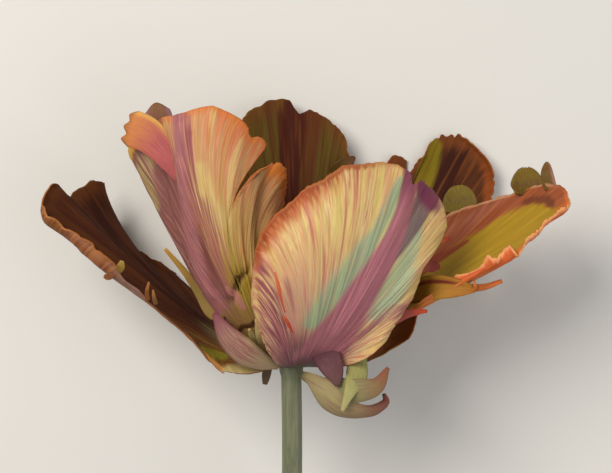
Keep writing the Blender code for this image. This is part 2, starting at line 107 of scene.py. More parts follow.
class Wire:
    def __init__(self, paint, socket):
        self.paint, self.socket = paint, socket

    def maths(self, operation, *values):
        sockets = dict(enumerate((self, *values)))
        return self.paint.node("ShaderNodeMath", {"operation": operation}, sockets)

    def __add__(self, other):
        return self.maths("ADD", other)

    def __sub__(self, other):
        return self.maths("SUBTRACT", other)

    def __rsub__(self, other):
        return (self * -1.0) + other

    def __mul__(self, other):
        return self.maths("MULTIPLY", other)

    def __truediv__(self, other):
        return self.maths("DIVIDE", other)

    def __abs__(self):
        return self.maths("ABSOLUTE")

    __radd__, __rmul__ = __add__, __mul__

    def fade(self, low, high):
        # 0 at low, 1 at high, eased; low may be the greater
        values = {"Value": self, "From Min": low, "From Max": high}
        return self.paint.node("ShaderNodeMapRange", {"interpolation_type": "SMOOTHSTEP"}, values)


class Paint:
    def __init__(self, name, roughness=0.5, **constants):
        self.material = bpy.data.materials.new(name)
        self.material.use_nodes = True
        self.tree = self.material.node_tree
        self.shader = self.tree.nodes["Principled BSDF"]
        self.shader.inputs["Roughness"].default_value = roughness
        for socket, value in constants.items():
            self.shader.inputs[socket.replace("_", " ")].default_value = value

    def plug(self, value, socket):
        if isinstance(value, Wire):
            self.tree.links.new(value.socket, socket)
        else:
            socket.default_value = value

    def node(self, kind, settings, sockets, output=0):
        made = self.tree.nodes.new(kind)
        for setting, value in settings.items():
            setattr(made, setting, value)
        for socket, value in sockets.items():
            self.plug(value, made.inputs[socket])
        return Wire(self, made.outputs[output])

    def colour(self, value):
        self.plug(value, self.shader.inputs["Base Color"])

    def blend(self, mask, under, over):
        return self.node("ShaderNodeMix", {"data_type": "RGBA"}, {0: mask, 6: under, 7: over}, 2)

    def noise(self, x, y, z, detail=3.0, roughness=0.55):
        where = self.node("ShaderNodeCombineXYZ", {}, {"X": x, "Y": y, "Z": z})
        sockets = {"Vector": where, "Scale": 1.0, "Detail": detail, "Roughness": roughness}
        return self.node("ShaderNodeTexNoise", {}, sockets)

    def field(self, name):
        return self.node("ShaderNodeAttribute", {"attribute_name": name}, {}, 2)

    def relief(self, height, distance, strength=1.0):
        sockets = {"Height": height, "Distance": distance, "Strength": strength}
        self.plug(self.node("ShaderNodeBump", {}, sockets), self.shader.inputs["Normal"])

    def glowThrough(self, share, through):
        # a thin blade lets some light through: a constant share of translucent shader
        soft = self.node("ShaderNodeBsdfTranslucent", {}, {"Color": through})
        whole = Wire(self, self.shader.outputs[0])
        mixed = self.node("ShaderNodeMixShader", {}, {0: share, 1: whole, 2: soft})
        self.plug(mixed, self.tree.nodes["Material Output"].inputs["Surface"])


# what every petal face has unless its own look says otherwise; coarse, fine and hair count streaks
petal = {
    "roughness": 0.55, "gloss": 0.25, "relief": 0.00025, "through": 0.12, "glow": (226, 170, 110),
    "coarse": 22.0, "fine": 75.0, "hair": 170.0, "fan": 0.45, "middle": 0.0, "jitter": 0.16,
}


def over(shade, feather=0.0, amount=1.0, **masks):
    # a layer of colour: how far its masks stray, how much of it shows, and from where to where
    return shade, feather, amount, masks


def petalPaint(name, look):
    # ground colour, then each layer over it where its masks say; all of it follows the veins
    look = {**petal, **look}
    paint = Paint(name, look["roughness"], Specular_IOR_Level=look["gloss"])
    place = paint.node("ShaderNodeSeparateXYZ", {}, {0: paint.node("ShaderNodeUVMap", {}, {})})
    across = place * 2.0 - 1.0
    along = Wire(paint, place.socket.node.outputs[1])
    vein = (across - look["middle"]) * (1.3 - along * look["fan"])
    seed = look["seed"]
    coarse = paint.noise(vein * look["coarse"], along * 2.2, seed)
    fine = paint.noise(vein * look["fine"], along * 3.0, seed + 7.0)
    hair = paint.noise(vein * look["hair"], along * 7.0, seed + 13.0, 2.0)
    broad = paint.noise(vein * look["coarse"] * 1.7, along * 1.4, seed + 21.0)
    mixed = coarse * 0.35 + fine * 0.65 - 0.5
    # what masks read, and how far a feathered one strays there; marks are fields of their own
    grains = {"coarse": coarse, "fine": fine, "hair": hair, "broad": broad}
    spans = {"along": (along, 1.0), "across": (across, 1.0), "acrossToo": (across, 1.0),
             "centre": (abs(across), 1.0), "edge": (paint.field("edge"), 30.0)}
    colour = look["ground"]
    for shade, feather, amount, masks in look["layers"]:
        mask = None
        for kind, (low, high) in masks.items():
            if kind in grains:
                value = grains[kind]
            else:
                span, stray = spans.get(kind) or (paint.field(kind), 6.0)
                value = span + mixed * (feather * stray)
            part = value.fade(low, high)
            mask = part if mask is None else mask * part
        if amount != 1.0:
            mask = mask * amount
        colour = paint.blend(mask, colour, tone(*shade))
    light = hair.fade(0.35, 0.62) * 0.17 + fine.fade(0.3, 0.6) * 0.14 + 0.71
    hue = (broad.fade(0.36, 0.64) - 0.5) * look["jitter"]
    shifts = {0: light + hue * 0.3, 1: light - hue * 0.5, 2: light + hue}
    sockets = {0: 1.0, 6: colour, 7: paint.node("ShaderNodeCombineColor", {}, shifts)}
    paint.colour(paint.node("ShaderNodeMix", {"data_type": "RGBA", "blend_type": "MULTIPLY"}, sockets, 2))
    paint.relief(hair * 0.5 + fine * 0.5, look["relief"], 0.6)
    paint.glowThrough(look["through"], tone(*look["glow"]))
    return paint.material


# what a tepal has unless its own dictionary says otherwise
plainTepal = {
    "lean": (-1, 0, 1, 0), "slits": (), "scallops": (), "fringe": (60, 0.3, 5), "middle": 0, "creases": (),
    "ribs": ((5, 0.06), (9, 0.07), (15, 0.05), (24, 0.04), (37, 0.03)), "lobes": (),
}


def marginCut(tepal):
    # where the margin is cut back: places round it and the depth there
    count, depth, seed = tepal["teeth"]
    chance = random.Random(seed)
    cuts = {-1.0: 0.0, 1.0: 0.0}
    for k in range(count):
        notch = -1 + 2 * (k + 0.35 + 0.3 * chance.random()) / count
        cuts[notch] = depth * (0.35 + 0.65 * chance.random()) * (1 - 0.8 * notch ** 4)
        if k:
            cuts[-1 + 2 * (k + 0.12 * (chance.random() - 0.5)) / count] = 0.0
    for place, deep, half in tepal["slits"]:
        for old in [s for s in cuts if abs(s - place) < half * 1.6]:
            del cuts[old]
        for aside, share in ((-1, 0), (-0.45, 0.6), (0, 1), (0.45, 0.6), (1, 0)):
            cuts[place + half * aside] = deep * share
    places = sorted(cuts)
    return places, [cuts[s] for s in places]


def guides(tepal, s):
    # each vein's guiding points: on the neck, as it flares, where it bellies, its end on the margin;
    # a tepal lists the last two as seen, with the margin's place and then the belly's
    halves = []
    for side in ("left", "right"):
        listed = tepal[side] if side == "left" else tepal[side][::-1]
        points = np.array([seenAt(*p[:3]) + seenAt(*p[3:]) for p in listed + [tepal["tip"]]])
        steps = np.linalg.norm(np.diff(points[:, :3], axis=0), axis=1)
        run = np.concatenate([[0], np.cumsum(steps)])
        halves.append((run / run[-1] - 1, points))
    knots = np.concatenate([halves[0][0], -halves[1][0][-2::-1]])
    points = smoothThrough(knots, np.concatenate([halves[0][1], halves[1][1][-2::-1]]), s)
    margin, belly = points[:, :3], points[:, 3:]
    level, spread = layout[tepal["slot"]]
    angle = np.radians(tepal["root"] - spread * s)
    out = np.stack([np.cos(angle), np.zeros_like(angle), np.sin(angle)], axis=1)
    root = out * layout["neckRadius"] + (0, level, 0)
    reach = np.linalg.norm(margin - root, axis=1)[:, None]
    flare = root + out * tepal["flare"] * np.clip(reach / layout["fullFlare"], 0, 1)
    return root, flare, belly, margin


def veinLines(tepal, s):
    # each vein as a line of points from the neck to the margin and round its hem
    root, flare, belly, margin = guides(tepal, s)
    t = np.linspace(0, 1, layout["veinPoints"])[:, None, None]
    line = root * (1 - t) ** 3 + flare * 3 * t * (1 - t) ** 2 + belly * 3 * t * t * (1 - t) + margin * t ** 3
    before, after = [guides(tepal, np.clip(s + step, -1, 1))[3] for step in (-0.01, 0.01)]
    roundIt = unit(after - before)
    outward = unit(np.cross(roundIt, margin - belly))
    ahead = unit(0.85 * np.cross(outward, roundIt) + 0.15 * unit(margin - belly))
    places, lengths, turns = zip(*tepal["hem"])
    hem = np.interp(s, places, lengths)
    turn = np.radians(np.interp(s, places, turns))
    turn = np.where(np.abs(turn) < 0.02, 0.02, turn)
    radius = (hem / turn)[:, None]
    part = np.linspace(0, 1, layout["hemPoints"] + 1)[1:, None, None] * turn[:, None]
    rolled = margin + ahead * radius * np.sin(part) - outward * radius * (1 - np.cos(part))
    line = np.concatenate([line, rolled])
    steps = np.linalg.norm(np.diff(line, axis=0), axis=2)
    run = np.concatenate([np.zeros((1, len(s))), np.cumsum(steps, axis=0)])
    return line, run


def leaned(tepal, s, t):
    # where the veins lie at t of their length: about a slanted slit they go to one side
    start, most, stop, shift = tepal["lean"]
    rise = between(s, start, most)
    near = np.minimum(rise, np.clip((stop - s) / (stop - most), 0, 1))
    ahead = np.clip((t - layout["leanStart"]) / (1 - layout["leanStart"]), 0, 1)
    return s + shift * near * ahead * ahead * (2 - ahead)


def placesOn(tepal, s, t):
    # places on a tepal in mm: s round its margin, and t of the way up the vein there
    s, t = np.broadcast_arrays(s, t)
    line, run = veinLines(tepal, np.clip(s, -1, 1).ravel())
    places = np.empty((s.size, 3))
    for k, reach in enumerate(np.clip(t, 0, 1).ravel() * run[-1]):
        for axis in range(3):
            places[k, axis] = np.interp(reach, run[:, k], line[:, k, axis])
    return places.reshape(s.shape + (3,))


def normalsOf(grid):
    return unit(np.cross(np.gradient(grid, axis=1), np.gradient(grid, axis=0)))


def nearness(tepal, grid, mark):
    # 1 on a mark's line, 0 at its half width, below that outside it
    mark = np.array(mark, float)
    ends = np.linspace(0, 1, len(mark))
    dense = np.linspace(0, 1, 12 * (len(mark) - 1) + 1)
    s, t, half = [np.interp(dense, ends, mark[:, k]) for k in range(3)]
    line = placesOn(tepal, s, t)
    apart = np.linalg.norm(grid[..., None, :] - line, axis=-1)
    return (1 - apart / half).max(axis=-1)


def tepalGrid(tepal, columns=221, rows=58, hemRows=12):
    # the tepal's middle surface in mm, with each point's place on it and its fields
    s = np.linspace(-1, 1, columns)
    run = veinLines(tepal, leaned(tepal, s, 1))[1]
    cut = np.interp(s, *marginCut(tepal))
    for scallops, high, low, top in tepal["scallops"]:
        inside = between(s, low, low + 0.05) * between(s, top, top - 0.05)
        cut = cut + high * inside * (1 - np.abs(np.sin(math.pi * scallops * s)) ** 0.7)
    count, deep, seed = tepal["fringe"]
    chance = np.random.default_rng(seed)
    jag = np.interp(s, np.linspace(-1, 1, count * 2 + 1), chance.random(count * 2 + 1) * deep)
    end = 1 - (cut + jag * (1 - s ** 6)) / run[-1]
    fold = end * np.minimum(run[layout["veinPoints"] - 1] / run[-1], 0.9)
    main = fold * np.linspace(0, 1, rows + 1)[:, None]
    hem = fold + (end - fold) * np.linspace(0, 1, hemRows + 1)[1:, None]
    shares = np.concatenate([main, hem])
    across = leaned(tepal, s[None, :], shares)
    flat = placesOn(tepal, across, shares)
    waves, swell, phase = tepal["waves"]
    ruffle = swell * shares ** 4 * np.sin(2 * math.pi * (waves * (across + 1) / 2 + phase))
    grid = flat + normalsOf(flat) * ruffle[..., None]
    rise = np.zeros_like(shares)
    fan = (across - tepal["middle"]) * (1.3 - 0.45 * shares)
    chance = np.random.default_rng(tepal["teeth"][2] + 40)
    for cycles, high in tepal["ribs"]:
        wander = 0.4 * np.sin(shares * chance.uniform(3, 7) + chance.uniform(0, 6))
        rise += high * np.sin(2 * math.pi * (cycles * fan + wander + chance.random()))
    rise *= between(shares, 0.08, 0.4)
    for height, line in tepal["creases"]:
        rise += height * between(nearness(tepal, grid, line), 0, 1)
    grid = grid + normalsOf(grid) * rise[..., None]
    fields = {name: nearness(tepal, grid, mark) for name, mark in tepal["marks"].items()}
    fields["edge"] = (end - shares) * run[-1]
    return grid, np.stack([(across + 1) / 2, shares], axis=-1), fields


def lobeGrid(strip, rows=18, columns=11):
    # a lobe's middle surface in mm, and each point's place on it
    path = np.array([seenAt(*p) for p in strip["path"]])
    run = np.concatenate([[0], np.cumsum(np.linalg.norm(np.diff(path, axis=0), axis=1))])
    run = run / run[-1]
    listed = strip.get("ends", (1, 1, 1))
    columns = max(columns, 5 * len(listed) - 2)
    side = np.linspace(-1, 1, columns)
    ends = smoothThrough(np.linspace(-1, 1, len(listed)), listed, side)
    out = np.array(strip.get("facing", (0, 0, 1)), float)
    cup = math.radians(strip.get("cup", 15))
    share = np.linspace(0, 1, rows + 1)[:, None] * ends
    line = smoothThrough(run, path, share)
    before, after = [smoothThrough(run, path, np.minimum(share + step, 1)) for step in (-0.02, 0.02)]
    ahead = unit(after - before)
    aside = unit(np.cross(ahead, out))
    up = np.cross(aside, ahead)
    half = smoothThrough(run, strip["widths"], share)
    if "round" in strip:
        half = half * np.sqrt(1 - np.clip((share - strip["round"]) / (1.01 - strip["round"]), 0, 0.995) ** 2)
    half = np.maximum(half, layout["thinnest"])[..., None]
    turn = side[None, :, None] * cup
    points = line + aside * half * np.sin(turn) / cup - up * half * (1 - np.cos(turn)) / cup
    return points, np.stack([np.repeat((side[None, :] + 1) / 2, len(share), axis=0), share], axis=-1)


def begun(name):
    # the piece that was just added, its mesh, and its points as x, y and z
    piece = bpy.context.active_object
    piece.name = name
    flat = np.empty(len(piece.data.vertices) * 3)
    piece.data.vertices.foreach_get("co", flat)
    return piece, piece.data, flat.reshape(-1, 3).T


def placed(mesh, points, fields):
    # the mesh's points go to their places on the flower, and each gets its fields
    moved = (points + layout["flowerPlace"]) * layout["mm"]
    mesh.vertices.foreach_set("co", moved.ravel())
    for field, values in fields.items():
        mesh.attributes.new(field, "FLOAT", "POINT").data.foreach_set("value", values)
    mesh.update()


def grown(name, points, places, fields, paints, thickness):
    # a flat grid whose points move to their places, then made a closed blade
    rows, columns = points.shape[:2]
    bpy.ops.mesh.primitive_grid_add(x_subdivisions=columns - 1, y_subdivisions=rows - 1, size=2)
    piece, mesh, (x, y, _) = begun(name)
    c = np.rint((x + 1) / 2 * (columns - 1)).astype(int)
    r = np.rint((y + 1) / 2 * (rows - 1)).astype(int)
    corners = np.empty(len(mesh.loops), int)
    mesh.loops.foreach_get("vertex_index", corners)
    mesh.uv_layers.active.data.foreach_set("uv", places[r, c][corners].ravel())
    placed(mesh, points[r, c], {field: values[r, c] for field, values in fields.items()})
    for paint in paints:
        mesh.materials.append(paint)
    solid = piece.modifiers.new("thickness", "SOLIDIFY")
    solid.thickness = thickness * layout["mm"]
    solid.offset = 0
    solid.material_offset = len(paints) - 1
    solid.material_offset_rim = 0
    bpy.ops.object.modifier_apply(modifier=solid.name)
    bpy.ops.object.shade_smooth()
    return piece


def joined(pieces):
    bpy.ops.object.select_all(action="DESELECT")
    for piece in pieces:
        piece.select_set(True)
    bpy.context.view_layer.objects.active = pieces[0]
    if len(pieces) > 1:
        bpy.ops.object.join()
    return bpy.context.active_object


def tepalPiece(node, tepal):
    tepal = {**plainTepal, **tepal}
    paints = [petalPaint(node + "_outside", tepal["outside"]), petalPaint(node + "_inside", tepal["inside"])]
    grid, places, fields = tepalGrid(tepal)
    parts = [grown(node + "_fine", grid, places, fields, paints, layout["tepalThickness"])]
    for n, strip in enumerate(tepal["lobes"]):
        paint = petalPaint(f"{node}_lobe_{n}", strip["look"])
        points, spots = lobeGrid(strip)
        parts.append(grown(f"{node}_lobe_{n}", points, spots, {}, [paint], layout["lobeThickness"]))
    piece = joined(parts)
    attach(piece, "root")
    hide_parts(node)
    print(piece.name, len(piece.data.polygons), "faces")


def lobe(path, widths, ground, tip, streak, seed=3.0, extra=(), **form):
    # a strip by its line and half widths; its ground colour goes over to its tip's, streaked
    layers = [over(tip, 0.7, along=(0.45, 0.95)), over(streak, 0, 0.6, fine=(0.48, 0.6)), *extra]
    look = {"ground": tone(*ground), "layers": layers, "seed": seed, "fine": 18.0, "coarse": 6.0,
            "fan": 0.0, "relief": 0.0002}
    return {"path": path, "widths": widths, "look": look, **form}


def insideLook(side, flame, rim, foot, seed, extra=(), **more):
    # the face that looks into the bloom: sides, a flame up the middle, a warmer rim, its foot
    layers = [
        over(flame, 0, 0.5, fine=(0.5, 0.64)),
        over(flame, 0.3, stripe=(-0.4, 0.2)),
        over(rim, 0.3, edge=(6.0, 1.5)),
        over(foot, 0.3, along=(0.34, 0.16)),
        *extra]
    return {"ground": tone(*side), "layers": layers, "seed": seed, **more}


def outsideLook(side, stripe, flame, rim, foot, seed, extra=(), **more):
    # the face that looks out: cream sides, green flames beside a mauve stripe, a warm rim
    layers = [
        over((176, 100, 88), 0, 0.5, fine=(0.52, 0.66)),
        over(flame, 0.25, 0.8, stripe=(-2.4, -0.9)),
        over(stripe, 0.08, stripe=(-0.2, 0.2)),
        over(rim, 0.14, edge=(9.0, 1.5)),
        over((118, 66, 72), 0.25, 0.8, along=(0.34, 0.18)),
        over(foot, 0.1, along=(0.14, 0.05)),
        *extra]
    return {"ground": tone(*side), "layers": layers, "seed": seed, **more}


# the front tepal
frontTepal = {
    "slot": "outer_tepal", "root": 65, "flare": 13,
    "left": [
        (259, 328, 15, 268, 356, 19), (252, 282, 21, 262, 322, 29), (260, 243, 24, 274, 296, 34),
        (283, 212, 25, 294, 276, 36), (318, 183, 26, 322, 262, 37), (365, 166, 24, 352, 254, 36)],
    "tip": (400, 168, 20, 374, 254, 34),
    "right": [
        (413, 181, 17.5, 383, 258, 32.5), (425, 187, 15, 392, 262, 31),
        (442, 207, 12, 404, 272, 27), (440, 240, 12, 408, 290, 25), (422, 271, 12, 402, 308, 23),
        (408, 304, 12, 393, 332, 22), (388, 337, 13, 366, 370, 17)],
    "hem": [(-1, 1.0, 10), (-0.5, 1.5, 20), (0, 1.5, 10), (0.5, 2.0, 40), (1, 1.0, 10)],
    "teeth": (13, 1.2, 3), "slits": [(0.1, 3.0, 0.035)], "waves": (6, 0.4, 0.0), "middle": 0.13,
    "fringe": (80, 0.7, 5),
    "marks": {
        "stripe": [
            (0.06, 1.0, 2.8), (0.085, 0.92, 2.6), (0.115, 0.83, 2.5), (0.135, 0.73, 3.0), (0.135, 0.6, 4.0),
            (0.13, 0.5, 4.7), (0.12, 0.4, 5.2), (0.1, 0.28, 6.0), (0.1, 0.12, 6.5)],
        "mintLeft": [
            (0.02, 0.93, 1.4), (0.02, 0.82, 2.2), (0.0, 0.7, 2.6), (-0.05, 0.6, 4.0), (-0.1, 0.5, 4.6),
            (-0.18, 0.42, 4.4), (-0.28, 0.36, 3.0)],
        "mintRight": [
            (0.23, 0.85, 1.4), (0.28, 0.75, 2.6), (0.33, 0.65, 4.0), (0.37, 0.55, 4.6), (0.38, 0.47, 3.4)],
        "mauveLeft": [
            (-0.71, 0.97, 1.8), (-0.7, 0.85, 2.4), (-0.68, 0.7, 2.8), (-0.68, 0.55, 3.2), (-0.68, 0.4, 4.2),
            (-0.6, 0.28, 4.5)],
        "mauveRight": [
            (0.78, 0.85, 1.4), (0.7, 0.72, 1.8), (0.6, 0.6, 2.2), (0.5, 0.48, 2.4), (0.42, 0.36, 2.4)],
        "dusk": [(0.16, 0.98, 2.8), (0.2, 0.92, 3.4), (0.21, 0.82, 2.8), (0.2, 0.7, 1.8), (0.19, 0.62, 1.0)],
        "plum": [(0.13, 0.99, 3.4), (0.18, 0.97, 4.2), (0.24, 0.95, 3.4)]},
    "creases": [
        (-0.8, [(-0.62, 0.95, 1.6), (-0.61, 0.75, 2.2), (-0.59, 0.55, 2.4), (-0.55, 0.42, 1.8)]),
        (0.5, [(0.14, 0.98, 2.5), (0.135, 0.6, 3.6), (0.12, 0.3, 4.0)])],
    "outside": {
        "ground": tone(220, 188, 118), "middle": 0.13, "seed": 1.0, "relief": 0.0003,
        "layers": [
            over((210, 172, 142), 0.35, 0.8, along=(0.7, 0.4)),
            over((234, 208, 140), 0, 0.7, coarse=(0.48, 0.62)),
            over((190, 116, 92), 0, 0.55, fine=(0.48, 0.58)),
            over((176, 96, 84), 0, 0.6, hair=(0.54, 0.64), coarse=(0.4, 0.56)),
            over((206, 150, 128), 0.5, 0.6, across=(-0.25, -0.5), along=(0.85, 0.6)),
            over((170, 86, 78), 0.3, 0.6, broad=(0.52, 0.64), across=(0.02, -0.16)),
            over((172, 92, 84), 0.3, 0.6, broad=(0.52, 0.64), across=(0.3, 0.42)),
            over((184, 116, 112), 0.5, 0.6, along=(0.5, 0.26)),
            over((166, 178, 138), 0.45, mintLeft=(-0.25, 0.6), fine=(0.74, 0.5)),
            over((126, 150, 112), 0.4, 0.75, mintLeft=(0.1, 0.7), broad=(0.48, 0.6)),
            over((172, 182, 142), 0.45, mintRight=(-0.3, 0.6), fine=(0.74, 0.5)),
            over((134, 156, 118), 0.4, 0.6, mintRight=(0.1, 0.7), broad=(0.5, 0.62)),
            over((142, 76, 84), 0.4, mauveLeft=(-0.5, 0.4), fine=(0.4, 0.56)),
            over((152, 88, 92), 0.4, 0.85, mauveRight=(-0.5, 0.5), fine=(0.42, 0.56)),
            over((208, 158, 132), 0.25, 0.7, edge=(5.0, 1.0), across=(-0.62, -0.74)),
            over((184, 96, 44), 0.55, 0.9, edge=(8.5, 3.0), across=(-0.16, -0.4), acrossToo=(-0.8, -0.64)),
            over((146, 62, 24), 0.4, edge=(6.0, 1.6), across=(-0.06, -0.3), acrossToo=(-0.76, -0.62),
                fine=(0.44, 0.54)),
            over((150, 70, 30), 0.2, edge=(2.2, 0.5), across=(0.0, -0.2), acrossToo=(-0.8, -0.64)),
            over((196, 120, 66), 0.05, 0.5, edge=(1.2, 0.3)),
            over((118, 68, 76), 0.5, 0.9, along=(0.36, 0.18)),
            over((100, 58, 68), 0.4, 0.85, along=(0.34, 0.2), across=(-0.3, 0.0)),
            over((196, 166, 140), 0, 0.6, along=(0.4, 0.26), fine=(0.56, 0.64)),
            over((116, 88, 94), 0.4, 0.9, dusk=(-0.5, 0.2)),
            over((150, 152, 132), 0, 0.5, dusk=(-0.5, 0.3), fine=(0.56, 0.66)),
            over((120, 50, 78), 0.35, 0.95, plum=(-0.4, 0.3)),
            over((176, 106, 114), 0.12, stripe=(-0.2, 0.2)),
            over((142, 78, 94), 0, 0.55, stripe=(-0.1, 0.4), fine=(0.52, 0.64)),
            over((198, 142, 136), 0, 0.5, stripe=(0.0, 0.5), broad=(0.52, 0.66)),
            over((130, 62, 84), 0.2, 0.8, stripe=(-0.2, 0.3), along=(0.8, 0.98)),
            over((92, 56, 62), 0.3, 0.85, along=(0.22, 0.1)),
            over((92, 94, 66), 0.08, along=(0.11, 0.04))]},
    "inside": insideLook((206, 150, 64), (150, 62, 48), (196, 92, 34), (150, 140, 80), 2.0, middle=0.13),
    "lobes": [
        lobe([(430, 241, 15.2), (439, 240, 12.2), (449, 239, 10.5)], [0.8, 0.8, 0.35], (190, 120, 70),
            (164, 46, 16), (170, 70, 40)),
        lobe([(414, 265, 16.3), (427, 266, 11.0), (440, 267, 9.5)], [1.4, 1.6, 1.2], (160, 76, 58),
            (136, 50, 44), (112, 44, 42), ends=(0.84, 0.97, 1.0, 0.97, 0.84)),
        lobe([(394, 319, 15.3), (407, 314, 12), (417, 312, 10.5), (427, 311, 9.5)], [1.6, 1.1, 0.8, 0.4],
            (150, 70, 62), (204, 78, 36), (180, 60, 44)),
        lobe([(321, 343, 14.1), (325, 351, 11.6), (330, 363, 11.4), (335, 375, 12.6), (337, 386, 13.8)],
            [3.2, 3.9, 3.5, 2.3, 0.5], (106, 62, 68), (96, 62, 62), (76, 40, 50), cup=25,
            extra=[over((150, 112, 96), 0, 0.5, fine=(0.56, 0.66))]),
        lobe([(285, 312, 28.0), (281, 298, 30.4), (278, 284, 31.4), (275, 272, 31.6)],
            [0.12, 0.25, 0.42, 0.15], (206, 92, 52), (214, 116, 66), (180, 70, 44)),
        lobe([(293, 333, 25.2), (289, 325, 27.2), (286, 320, 28.2), (283, 315, 28.8)],
            [0.15, 0.4, 0.45, 0.15], (196, 74, 42), (206, 100, 58), (160, 50, 34))]}
tepalPiece("tepal_front", frontTepal)

